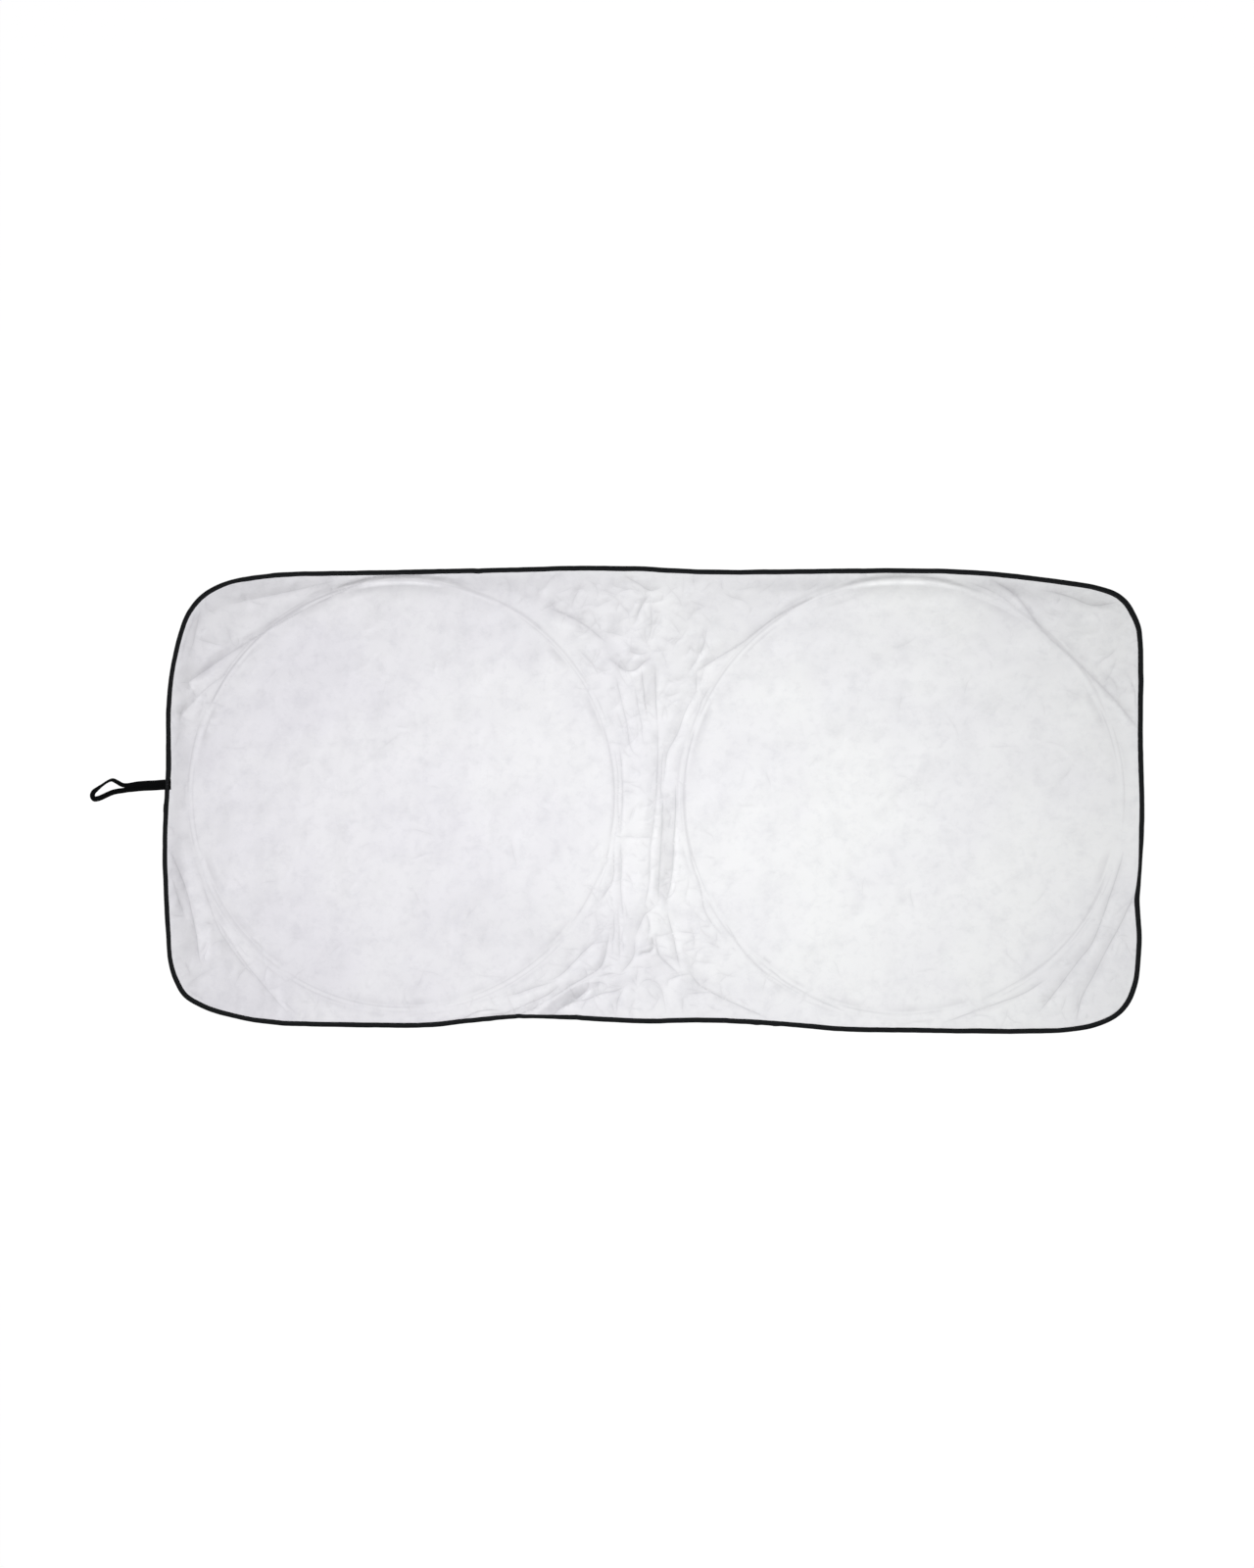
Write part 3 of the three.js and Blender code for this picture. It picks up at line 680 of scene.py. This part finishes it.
def creaseLift(points):
    # the height of the creases, and the painted shade along their lines
    lift = np.zeros(len(points))
    shade = np.zeros(len(points))
    foot = creaseMesh["foot"]
    for rise, left, right, line, run in foldLines:
        near = nearLine(points, line, foot * max(left, right))
        spots = points[near]
        if not len(spots):
            continue
        offsets = spots[:, None] - line[None]
        nearest = (offsets ** 2).sum(2).argmin(1)
        offset = offsets[np.arange(len(spots)), nearest]
        along = (offset * run[nearest]).sum(1)
        side = (offset * leftOf(run)[nearest]).sum(1)
        last = len(line) - 1
        past = np.where(nearest == 0, np.minimum(along, 0), 0)
        past = np.where(nearest == last, np.maximum(along, 0), past)
        away = np.hypot(side, past)
        travel = travelAlong(line)
        place = travel[nearest] + along
        fade = min(creaseMesh["fade"], creaseMesh["fadeShare"] * travel[-1])
        ends = smoothStep(np.minimum(place, travel[-1] - place), creaseMesh["fadeStart"] * fade, fade)
        width = np.where(side > 0, left, right)
        slope = np.clip(1 - away / (foot * width), 0, 1)
        lift[near] += creaseMesh["rise"] * rise * ends * slope
        least, gain = creaseMesh["lineShade"]
        dark = min(1, least + gain * abs(rise)) * ends * bell(away, creaseMesh["lineWidth"])
        darken(shade, near, dark)
    return lift, shade


def bandLines():
    lines = []
    for shade, half, soft, places in bands:
        line = smoothLine(places, spacing=creaseMesh["step"])
        share = np.linspace(-1, 1, len(line))
        lines.append((shade, half * np.sqrt(1 - creaseMesh["bandEnds"] * share ** 2), soft, line))
    return lines


shadedLines = bandLines()


# painted shade of the bands, darkest along their middle
def paintedBandShade(points):
    shade = np.zeros(len(points))
    for dark, half, soft, line in shadedLines:
        near = nearLine(points, line, half.max() + soft)
        apart = np.sqrt(((points[near][:, None] - line[None]) ** 2).sum(2))
        past = (apart - half[None]).min(1)
        darken(shade, near, dark * (1 - smoothStep(past, -0.5 * soft, 0.5 * soft)))
    return shade


def bandPoints():
    rows = []
    for _, half, soft, line in shadedLines:
        if soft > creaseMesh["softest"]:
            continue
        normal = leftOf(headings(line))
        for side in (-1, 1):
            rows += [line + side * (half + step * soft)[:, None] * normal for step in (-0.5, 0.5)]
    return np.vstack(rows)


def crumple(points, layers, seed):
    # a sum of folded noise, whose valleys are sharp as in cloth that was crushed
    lift = np.zeros(len(points))
    for layer, (size, height) in enumerate(layers):
        shift = Vector((17.3 * layer, 5.1, seed))
        folded = np.abs([noise.noise(Vector((x / size, y / size, 0)) + shift) for x, y in points])
        shift = Vector((3.7, 11.9 * layer, seed))
        ridged = np.abs([noise.noise(Vector((x / size, y / size, 2)) + shift) for x, y in points])
        lift += height * (0.35 + folded - ridged)
    return lift


def ringLift(points, number):
    # the cloth over one hoop: distance from the ring, slope, lines over it and their painted shade
    x, y = (points - hoops["centres"][number]).T
    away = np.hypot(x, y) - hoops["radius"]
    slope = np.interp(away, *zip(*hoops["tent"]))
    lines = np.zeros(len(points))
    shade = np.zeros(len(points))

    def changing(near, length, seed, low, high):
        # a share that changes round the ring
        spots = np.column_stack([x[near], y[near]]) / length
        values = [noise.noise(Vector((a, b, seed + 3.3 * number))) for a, b in spots]
        return smoothStep(np.array(values), low, high)

    for line, (out, rise, width, length, dark) in enumerate(hoops["lines"]):
        near = np.abs(away - out) < 4 * width
        share = changing(near, length, 7 * line + 1, -0.3, 0.4)
        bend = changing(near, hoops["wanderLength"], 31 + line, -0.5, 0.5) - 0.5
        offset = np.abs(away[near] - out - hoops["wander"] * bend * (out != 0))
        lines[near] += rise * share * np.clip(1 - offset / width, 0, 1)
        darken(shade, near, dark * share * bell(offset, hoops["lineWidth"]))
    for foot in hoops["feet"]:
        near = np.abs(away - foot) < hoops["lineReach"]
        share = changing(near, hoops["footLength"], 50 + foot, -0.25, 0.4)
        darken(shade, near, hoops["paintedFootShade"] * share * bell(away[near] - foot, hoops["lineWidth"]))
    around = np.degrees(np.arctan2(y, x))
    for ring, start, end, out, dark in hoops["arcs"]:
        if ring != number:
            continue
        near = np.abs(away - out) < hoops["lineReach"]
        middle, half = (start + end) / 2, (end - start) / 2
        turned = np.abs((around[near] - middle + 180) % 360 - 180)
        ends = 1 - smoothStep(turned, half - hoops["arcFade"], half)
        darken(shade, near, dark * ends * bell(away[near] - out, hoops["arcWidth"]))
    return away, slope, lines, shade


def frontHeights(points):
    # the underside of the front panel, and the painted shade of its lines and bands
    inside, station = distanceFromEdge(points)
    room = inside - panel["hemInset"]
    turn = math.tau / panel["waveLength"]
    x, y = points.T
    waves = np.sin(x * turn + 1) * np.sin(y * turn * 1.2 + 2)
    waves += np.sin((x + y) * turn * 0.7) * np.cos((x - y) * turn)
    lift = panel["waveHeight"] * (0.5 + 0.25 * waves)
    aways, slopes, lines, shades = zip(*(ringLift(points, number) for number in (0, 1)))
    nearestRing = np.abs(aways).min(0)
    loose = smoothStep(np.min(aways, 0), *panel["looseSpan"])
    tight = crumple(points, panel["crumples"], 3)
    slack = crumple(points, panel["looseCrumples"], 9)
    lift += (tight * (1 - loose) + slack * loose) * smoothStep(nearestRing, *panel["crumpleSpan"])
    folds, shade = creaseLift(points)
    lift += folds
    held = panel["reliefAtHoop"]
    lift *= held + (1 - held) * smoothStep(nearestRing, *panel["reliefSpan"])
    wanted = lift + np.max(slopes, 0) + np.sum(lines, 0)
    pucker = waver(edgeTravel, panel["puckerLength"], 2)[station] * panel["puckerHeight"]
    depth = np.clip(room, 0, None) / panel["puckerDepth"]
    wanted = wanted * smoothStep(room, 0, panel["fade"]) + pucker * depth * np.exp(1 - depth)
    clear = np.interp(nearestRing, *zip(*hoops["clear"])) * smoothStep(room, *hoops["clearFrom"])
    shade = np.clip(np.maximum(shade, np.max(shades, 0)) + paintedBandShade(points), 0, 1)
    return panel["frontLevel"] + np.maximum(np.maximum(wanted, clear), -panel["sink"]), shade


def keepApart(groups):
    # thins the points of each group, the most important group first
    cell = 3.0
    taken = {}
    kept = []
    for points, apart in groups:
        reach = math.ceil(apart / cell)
        for x, y in points.tolist():
            column, row = int(x // cell), int(y // cell)
            crowded = any(
                (x - a) ** 2 + (y - b) ** 2 < apart ** 2
                for i in range(column - reach, column + reach + 1)
                for k in range(row - reach, row + reach + 1)
                for a, b in taken.get((i, k), ())
            )
            if not crowded:
                taken.setdefault((column, row), []).append((x, y))
                kept.append((x, y))
    return np.array(kept)


def latticePoints(spacing):
    rise = spacing * math.sqrt(3) / 2
    rows = []
    for row, y in enumerate(np.arange(-edge["halfWidth"], edge["halfWidth"], rise)):
        x = np.arange(-edge["halfLength"], edge["halfLength"], spacing) + (row % 2) * spacing / 2
        rows.append(np.column_stack([x, np.full(len(x), y)]))
    points = np.vstack(rows)
    bend = panel["latticeBend"]
    shift = [noise.noise_vector(Vector((x / bend, y / bend, 1)))[:2] for x, y in points]
    return points + panel["latticeShift"] * spacing * np.array(shift)


def ringPoints():
    rows = []
    count = round(math.tau * hoops["radius"] / hoops["spacing"])
    angle = np.arange(count) * math.tau / count
    rim = np.column_stack([np.cos(angle), np.sin(angle)])
    for centre in hoops["centres"]:
        rows += [np.array(centre) + (hoops["radius"] + offset) * rim for offset in hoops["rows"]]
    return np.vstack(rows)


def creasePoints():
    crests = []
    sides = []
    foot, crestRow = creaseMesh["foot"], creaseMesh["crestRow"]
    for rise, left, right, line, run in foldLines:
        normal = leftOf(run)
        crests.append(line)
        crests += [line + normal * crestRow, line - normal * crestRow]
        for width, way in ((left, 1), (right, -1)):
            if foot * width < 3 * crestRow:
                continue
            offsets = [creaseMesh["sideRow"] * foot * width, foot * width]
            if rise > creaseMesh["sharpRise"]:
                offsets = [foot * width - crestRow, foot * width + crestRow]
            sides += [line + way * offset * normal for offset in offsets]
    return np.vstack(crests), np.vstack(sides)


def sheetMesh(points, undersides, faces, rimCount):
    # a closed thin sheet from its flat points; the rim's points come first
    count = len(points)
    lower = np.column_stack([points, undersides])
    upper = lower + (0, 0, panel["thickness"])
    upperFaces = [(a + count, b + count, c + count) for a, b, c in faces]
    lowerFaces = [(a, c, b) for a, b, c in faces]
    rimFaces = []
    for here in range(rimCount):
        after = (here + 1) % rimCount
        rimFaces.append((here, here + count, after + count, after))
    return np.vstack([lower, upper]), upperFaces + lowerFaces + rimFaces


def meshPoints(rim, others):
    # triangles over the rim and the points inside it
    spots = [Vector(point) for point in np.vstack([rim, others])]
    made = geometry.delaunay_2d_cdt(spots, [], [list(range(len(rim)))], 1, 1e-4)
    points = np.array([tuple(spot) for spot in made[0]])
    faces = []
    for a, b, c in made[2]:
        (ax, ay), (bx, by), (cx, cy) = points[a], points[b], points[c]
        turn = (bx - ax) * (cy - ay) - (by - ay) * (cx - ax)
        faces.append((a, b, c) if turn > 0 else (a, c, b))
    return points, faces


def insetRows(insets):
    return np.vstack([edgeLine + edgeInward * inset for inset in insets])


def flatMesh(groups):
    # a panel's points and triangles, cut flat, and how many of the points lie on its rim
    rim = insetRows([panel["rimInset"]])
    others = keepApart(groups)
    inside, _ = distanceFromEdge(others)
    points, faces = meshPoints(rim, others[inside > panel["rimInset"] + panel["rimGap"]])
    return points, faces, len(rim)


def makeFrontPanel():
    crests, sides = creasePoints()
    points, faces, rimCount = flatMesh([
        (insetRows(panel["edgeRows"]), panel["edgeRowGap"]), (ringPoints(), panel["lineGap"]),
        (crests, panel["lineGap"]), (sides, panel["sideGap"]), (bandPoints(), panel["sideGap"]),
        (latticePoints(panel["lattice"]), panel["latticeGap"]),
    ])
    undersides, shade = frontHeights(points)
    corners, sheetFaces = sheetMesh(points, undersides, faces, rimCount)
    print("front panel:", len(points), "points,", 2 * len(faces), "triangles")
    piece = addPiece("front_cloth", corners, sheetFaces, clothMaterial)
    # painted shade of crease lines, hoop lines and bands, stored for both faces of the sheet
    marks = piece.data.attributes.new("paintedShade", "FLOAT", "POINT")
    marks.data.foreach_set("value", np.concatenate([shade, shade]).astype(np.float32))
    return piece


def makeRearPanel():
    points, faces, rimCount = flatMesh([
        (insetRows(rear["edgeRows"]), rear["edgeRowGap"]),
        (latticePoints(rear["lattice"]), rear["latticeGap"]),
    ])
    inside, _ = distanceFromEdge(points)
    slope = smoothStep(inside, panel["hemInset"], panel["hemInset"] + rear["rise"])
    waves = np.clip(crumple(points, rear["crumples"], 5), 0, rear["crumpleTop"])
    level = rear["edgeLevel"] * (1 - slope) + waves * slope
    corners, sheetFaces = sheetMesh(points, level, faces, rimCount)
    print("rear panel:", len(points), "points")
    return addPiece("rear_cloth", corners, sheetFaces, clothMaterial)


frontPanel = makeFrontPanel()
rearPanel = makeRearPanel()
print("cloth made")


# edge binding: one woven tape folded over the edges of both panels
binding = {
    "width": 7.7,
    "height": 2.3,
    "thickness": 0.4,
    "foldDepth": 1.1,
    "widthWaver": 0.45,
    "widthLength": 60,           # length of the width's changes
    "sideWavers": [(38, 0.35, 4), (11, 0.1225, 6)],    # length, size and seed of the edge's
    "lapPlace": (-739, -24),
    "lapLength": 13,
    "lapRise": 0.3,
    # places where the tape is rolled, kinked or bulges: x, y, shift in, width gained, reach
    "marks": [
        (-180, -338, 0.4, -1.7, 50),
        (-196, -338, 0.8, 0.4, 5),
        (-106, -333, 1.1, 0.5, 7),
        (-240, -339, -0.6, 0.3, 6),
        (-258, 349, 0.7, 0.5, 6),
        (-590, 345, 0.8, -0.6, 12),
        (168, -342, -0.9, 1.1, 5),
        (196, -346, -0.9, 0.9, 5),
        (748, -95, 0.2, -2.0, 38),
        (743, -152, 1.0, 0.6, 14),
        (-739, -18, -1.2, 0.9, 9),
        (-740, 50, 0.2, 1.1, 30),
        (-640, 338, -0.5, -0.8, 16),
        (-690, -290, 0, 0.8, 30),
        (720, 285, 0, 0.9, 60),
    ],
}


def tapeShape():
    # how far in the tape's outer edge lies and how wide it is, at each station of the edge
    wavers = binding["sideWavers"]
    shift = sum(size * waver(edgeTravel, length, seed) for length, size, seed in wavers)
    width = binding["width"] + binding["widthWaver"] * waver(edgeTravel, binding["widthLength"], 8)
    for x, y, inward, gain, reach in binding["marks"]:
        near = bell(np.hypot(*(edgeLine - (x, y)).T), reach)
        shift += inward * near
        width += gain * near
    return shift, width


tapeShift, tapeWidth = tapeShape()


def foldedProfile(width, rise):
    # the tape's section as (in from the edge, height): under, round the edge, over and back
    depth, height, thick = binding["foldDepth"], binding["height"] + rise, binding["thickness"]
    outer = [(width, 0), (0.55 * width, 0)]
    for k in range(9):
        angle = -math.pi / 2 + math.pi * k / 8
        outer.append((depth - depth * math.cos(angle), height / 2 + height / 2 * math.sin(angle)))
    outer += [(0.35 * width, height + 0.06), (0.7 * width, height + 0.05), (width - 0.25, height)]
    outer.append((width, height - 0.14))
    inner = [(width, height - thick), (0.6 * width, height - thick + 0.03)]
    for k in range(5):
        angle = math.pi / 2 - math.pi * k / 4
        innerDepth = depth - thick
        innerHeight = height / 2 - thick
        inner.append((depth - innerDepth * math.cos(angle), height / 2 + innerHeight * math.sin(angle)))
    inner += [(0.55 * width, thick), (width, thick)]
    return np.array(outer + inner)


def sweepPiece(sections, alongs, ring):
    # joins equal sections, with u along the tape and v round its section, in metres
    sections = np.array(sections)
    count, size = sections.shape[:2]
    faces = []
    uvRows = []
    rounds = [travelAlong(closeUp(section)) * mm for section in sections]
    for i in range(count if ring else count - 1):
        after = (i + 1) % count
        start, end = alongs[i] * mm, alongs[i + 1] * mm
        for k in range(size):
            side = (k + 1) % size
            faces.append((i * size + k, i * size + side, after * size + side, after * size + k))
            uvRows += [
                (start, rounds[i][k]), (start, rounds[i][k + 1]),
                (end, rounds[after][k + 1]), (end, rounds[after][k]),
            ]
    if not ring:
        start = list(range(size))[::-1]
        end = list(range((count - 1) * size, count * size))
        for rim, at in ((start, alongs[0]), (end, alongs[-1])):
            faces.append(tuple(rim))
            uvRows += [(at * mm, rounds[0][index % size]) for index in rim]
    return sections.reshape(-1, 3), faces, uvRows


def tapeSection(station, shift, profile):
    inset = profile[:, 0] + shift
    flat = edgeLine[station] + edgeInward[station] * inset[:, None]
    return np.column_stack([flat, np.maximum(profile[:, 1], 0)])


def joinParts(parts):
    corners = []
    faces = []
    uvRows = []
    for partCorners, partFaces, partUv in parts:
        start = sum(len(block) for block in corners)
        corners.append(partCorners)
        faces += [tuple(index + start for index in face) for face in partFaces]
        uvRows += partUv
    return np.vstack(corners), faces, uvRows


def makeBinding():
    count = len(edgeLine)
    sections = [
        tapeSection(station, tapeShift[station], foldedProfile(tapeWidth[station], 0))
        for station in range(count)
    ]
    ring = sweepPiece(sections, edgeAround, True)

    # the tape's end lies over its start
    rise = binding["lapRise"]
    lapAt = np.hypot(*(edgeLine - binding["lapPlace"]).T).argmin()
    lapCount = round(binding["lapLength"] / edge["step"])
    lapSections = []
    for k in range(lapCount + 1):
        station = (lapAt + k) % count
        outer = foldedProfile(tapeWidth[station] + rise, rise)[3:15]
        back = outer[::-1] - (0, binding["thickness"])
        back[:, 0] = np.maximum(back[:, 0], binding["foldDepth"] * 0.4)
        profile = np.vstack([outer, back])
        lapSections.append(tapeSection(station, tapeShift[station] - rise, profile))
    lapAlongs = np.arange(lapCount + 1) * edge["step"]
    lap = sweepPiece(lapSections, lapAlongs, False)
    corners, faces, uvRows = joinParts([ring, lap])
    return addPiece("edge_tape", corners, faces, tapeMaterial, uvRows)


bindingPiece = makeBinding()
print("binding made")


# strap loop: (out from its root, y, share of its seat's height, tilt in degrees)
strap = {
    "width": 8.3,
    "thickness": 0.9,
    "y": 20.5,
    "legs": (3.8, -3.8),         # y of its two legs at the root, from the value before
    "seat": 2.42,
    "steps": 5,
    "places": [
        (9.6, 3.8, 1, 0), (1, 3.7, 1, 0), (-5, 3.35, 0.7, 5), (-13, 2.7, 0.12, 8), (-21, 2.3, 0, 9),
        (-29, 2, 0, 10), (-36, 1.5, 0, 12), (-44, 0.85, 0, 20), (-51.5, -0.25, 0, 28), (-59.5, -1.2, 0, 36),
        (-67, -0.4, 0, 43), (-75, 4.0, 0, 49), (-82.5, 7.2, 0, 53), (-90.2, 4.4, 0, 55),
        (-98, -0.8, 0, 52), (-106, -6.6, 0, 34), (-112.6, -11.8, 0, 14), (-114.6, -17.5, 0, 4),
        (-112, -22.1, 0, 8), (-106, -21.8, 0, 4), (-98, -18.8, 0, 0), (-90.2, -15.1, 0, 0),
        (-82.3, -12, 0, 0), (-74.7, -10.3, 0, 0), (-67, -9.3, 0, 0), (-59.3, -8, 0, 0),
        (-51.4, -7.3, 0, 0), (-44, -6.5, 0, 0), (-36, -5.85, 0, 0), (-29, -5.5, 0, 0), (-21, -5.2, 0, 0),
        (-13, -4.75, 0.12, 0), (-5, -4.2, 0.7, 0), (1, -3.9, 1, 0), (9.6, -3.85, 1, 0),
    ],
}


def leftEdgeAt(y):
    left = edgeLine[edgeLine[:, 0] < 50 - edge["halfLength"]]
    left = left[np.argsort(left[:, 1])]
    return float(np.interp(y, left[:, 1], left[:, 0]))


strapRootX = leftEdgeAt(strap["y"])


def strapOutline():
    # half the section's corners, as (share of the half width, share of the half thickness)
    top = [(-1, 0.45), (-0.93, 0.85), (-0.7, 1), (0, 0.93), (0.7, 1), (0.93, 0.85), (1, 0.45)]
    return [(-x, -z) for x, z in top] + top


def makeStrap():
    places = [(strapRootX + x, strap["y"] + y) for x, y, _, _ in strap["places"]]
    route = smoothLine(places, steps=strap["steps"])
    stances = smoothLine([place[2:] for place in strap["places"]], steps=strap["steps"])
    width, thick = strap["width"], strap["thickness"]
    tilts = np.radians(np.clip(stances[:, 1], 0, None))
    rises = (width * np.sin(tilts) + thick * np.cos(tilts)) / 2
    centres = np.column_stack([route, np.clip(stances[:, 0], 0, 1) * strap["seat"] + rises])
    sections = []
    for i, centre in enumerate(centres):
        before, after = centres[max(i - 1, 0)], centres[min(i + 1, len(centres) - 1)]
        along = Vector(after - before).normalized()
        level = Vector((0, 0, 1)).cross(along).normalized()
        across = level * math.cos(tilts[i]) + along.cross(level) * math.sin(tilts[i])
        normal = along.cross(across)
        sections.append([
            Vector(centre) + across * (side * width / 2) + normal * (face * thick / 2)
            for side, face in strapOutline()
        ])
    travel = travelAlong(centres)
    print("strap length", round(travel[-1]), "mm")
    corners, faces, uvRows = sweepPiece(np.array(sections)[:, ::-1], travel, False)
    return addPiece("loop_tape", corners, faces, strapMaterial, uvRows)


strapPiece = makeStrap()
print("strap made")


# sewing thread
stitch = {
    "length": 2.7,
    "pitch": 3.3,
    "thickness": 0.36,
    "inset": 2.0,            # from the tape's inner edge
    "rise": 0.086,           # middle of a stitch over the tape
    "tackCount": 9,
    "tackLength": 2.4,
    "tackInset": 3.6,
    "tackRows": (-1.1, 1.1),
    "tackMargin": 1.2,
    "tackLean": 0.25,
}


def stitchShape():
    # one stitch, lying along X and dipping into the cloth at both ends
    bpy.ops.object.select_all(action="DESELECT")
    bpy.ops.mesh.primitive_uv_sphere_add(segments=6, ring_count=6, radius=0.5)
    ball = bpy.context.active_object
    ball.rotation_euler = (0, math.pi / 2, 0)
    bpy.ops.object.transform_apply(rotation=True)
    corners = np.array([vertex.co[:] for vertex in ball.data.vertices])
    faces = [tuple(polygon.vertices) for polygon in ball.data.polygons]
    bpy.data.objects.remove(ball, do_unlink=True)
    return corners, faces


def placeStitches(name, spots):
    # spots are (middle x, y, z, direction x, y, length)
    shape, shapeFaces = stitchShape()
    corners = []
    faces = []
    for x, y, z, dx, dy, length in spots:
        start = len(corners) * len(shape)
        along = shape[:, 0] * length
        side = shape[:, 1] * stitch["thickness"]
        dip = 0.5 * stitch["thickness"] * (2 * shape[:, 0]) ** 4
        up = shape[:, 2] * stitch["thickness"] - dip
        flat = (x + along * dx - side * dy, y + along * dy + side * dx)
        corners.append(np.column_stack([*flat, z + up]))
        faces += [tuple(index + start for index in face) for face in shapeFaces]
    return addPiece(name, np.vstack(corners), faces, threadMaterial)


def makeBindingStitches():
    inset = tapeShift + tapeWidth - stitch["inset"]
    closed = closeUp(edgeLine + edgeInward * inset[:, None])
    travel = travelAlong(closed)
    count = round(travel[-1] / stitch["pitch"])
    level = binding["height"] + stitch["rise"]
    spots = []
    for k in range(count):
        at = travel[-1] * k / count
        ends = [
            [np.interp(at + step, travel, closed[:, axis]) for axis in (0, 1)]
            for step in (-0.5 * stitch["length"], 0.5 * stitch["length"])
        ]
        (ax, ay), (bx, by) = ends
        length = math.hypot(bx - ax, by - ay)
        if length < 0.5 * stitch["length"]:
            continue
        middle = ((ax + bx) / 2, (ay + by) / 2, level)
        spots.append((*middle, (bx - ax) / length, (by - ay) / length, length))
    print("binding stitches:", len(spots))
    return placeStitches("binding_stitches", spots)


def makeStrapTacks():
    top = strap["seat"] + strap["thickness"]
    spots = []
    for legY in strap["legs"]:
        for row in stitch["tackRows"]:
            for k in range(stitch["tackCount"]):
                share = k / (stitch["tackCount"] - 1) - 0.5
                y = strap["y"] + legY + share * (strap["width"] - stitch["tackMargin"])
                x = strapRootX + stitch["tackInset"] + row
                lean = stitch["tackLean"] if k % 2 else -stitch["tackLean"]
                reach = math.hypot(1, lean)
                spots.append((x, y, top, 1 / reach, lean / reach, stitch["tackLength"]))
    return placeStitches("strap_tacks", spots)


bindingStitches = makeBindingStitches()
strapTacks = makeStrapTacks()
print("stitches made")


# hoops and sleeves keep their own shape
for nodeName, nodeMaterial in (
    ("left_hoop", springMaterial), ("right_hoop", springMaterial),
    ("left_hoop_sleeve", sleeveMaterial), ("right_hoop_sleeve", sleeveMaterial),
):
    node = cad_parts[nodeName]
    node.data.materials.clear()
    node.data.materials.append(nodeMaterial)


for piece, replaced, slotName in (
    (frontPanel, "front_panel", "cloth"), (rearPanel, "rear_panel", "cloth"),
    (bindingPiece, "edge_binding", "black_tape"), (strapPiece, "strap_loop", "black_tape"),
    (bindingStitches, None, "black_tape"), (strapTacks, None, "black_tape"),
):
    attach(piece, "root")
    if replaced:
        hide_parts(replaced)


# studio: a white floor, a long soft lamp overhead, light from the lower right and a weak fill
studio = {
    "floorSize": 30,
    "floorLevel": -0.0003,
    "floorShadow": 0.12,
    "floorGlow": 1.07,
    "fill": 0.13,
    "lampPlace": (0.0, -0.05, 1.05),
    "lampTurn": -3,             # degrees
    "lampSize": (1.9, 0.35),
    "lampPower": 10.5,
    "sunFrom": (0.75, -0.75, 0.9),
    "sunWidth": 16,             # degrees
    "sunStrength": 1.6,
}


def addShownWhite(tree):
    # 1 for rays from the camera and for rays that mirror or pass on what it sees
    rays = addNode(tree, "LightPath", {}).outputs
    shown = addMath(tree, "MAXIMUM", rays["Is Camera Ray"], rays["Is Glossy Ray"])
    return addMath(tree, "MAXIMUM", shown, rays["Is Transmission Ray"])


def addFloor():
    bpy.ops.object.select_all(action="DESELECT")
    bpy.ops.mesh.primitive_plane_add(size=studio["floorSize"], location=(0, 0, studio["floorLevel"]))
    floor = bpy.context.active_object
    floor.name = "studio_floor"
    material, tree, shader = newMaterial("white_floor", (0.9, 0.9, 0.9), 0.9, specular=0.0)
    glow = addNode(tree, "Emission", {"Strength": studio["floorGlow"]}).outputs["Emission"]
    share = addMath(tree, "MULTIPLY", addShownWhite(tree), 1 - studio["floorShadow"])
    blend = addNode(tree, "MixShader", {"Fac": share, 1: shader.outputs["BSDF"], 2: glow})
    tree.links.new(blend.outputs["Shader"], tree.nodes["Material Output"].inputs["Surface"])
    floor.data.materials.append(material)


def addLight(name, kind, place, energy):
    data = bpy.data.lights.new(name, kind)
    data.energy = energy
    light = bpy.data.objects.new(name, data)
    bpy.context.scene.collection.objects.link(light)
    light.location = place
    light.visible_camera = False
    return light, data


def addLights():
    lamp, data = addLight("soft_lamp", "AREA", studio["lampPlace"], studio["lampPower"])
    data.shape = "RECTANGLE"
    data.size, data.size_y = studio["lampSize"]
    lamp.rotation_euler = (0, 0, math.radians(studio["lampTurn"]))
    sun, data = addLight("side_light", "SUN", studio["sunFrom"], studio["sunStrength"])
    data.angle = math.radians(studio["sunWidth"])
    sun.rotation_euler = (-Vector(studio["sunFrom"])).to_track_quat("-Z", "Y").to_euler()


def addWorld():
    world = bpy.data.worlds.new("studio")
    bpy.context.scene.world = world
    world.use_nodes = True
    tree = world.node_tree
    background = tree.nodes["Background"]
    background.inputs["Color"].default_value = (1, 1, 1, 1)
    extra = addMath(tree, "MULTIPLY", addShownWhite(tree), 1 - studio["fill"])
    tree.links.new(addMath(tree, "ADD", extra, studio["fill"]), background.inputs["Strength"])


cameraView = {
    "imageHeight": 1600,        # pixels
    "pixel": 1.4963,            # what a pixel shows at the middle of the shade
    "aim": (-29.5, 21.4),
    "distance": 3200,
    "turn": 0.0196,             # sine of the turn for each metre of distance
    "film": 36,
}


def addCamera():
    distance = cameraView["distance"] * mm
    turn = math.asin(cameraView["turn"] * distance)
    data = bpy.data.cameras.new("camera")
    data.sensor_fit = "VERTICAL"
    data.sensor_height = cameraView["film"]
    data.lens = cameraView["film"] * distance / (cameraView["imageHeight"] * cameraView["pixel"] * mm)
    camera = bpy.data.objects.new("camera", data)
    bpy.context.scene.collection.objects.link(camera)
    x, y = (value * mm for value in cameraView["aim"])
    camera.location = (x + distance * math.sin(turn), y, distance * math.cos(turn))
    camera.rotation_euler = (0, turn, 0)
    bpy.context.scene.camera = camera


addFloor()
addLights()
addWorld()
addCamera()
bpy.context.scene.view_settings.view_transform = "Standard"
print("studio made")
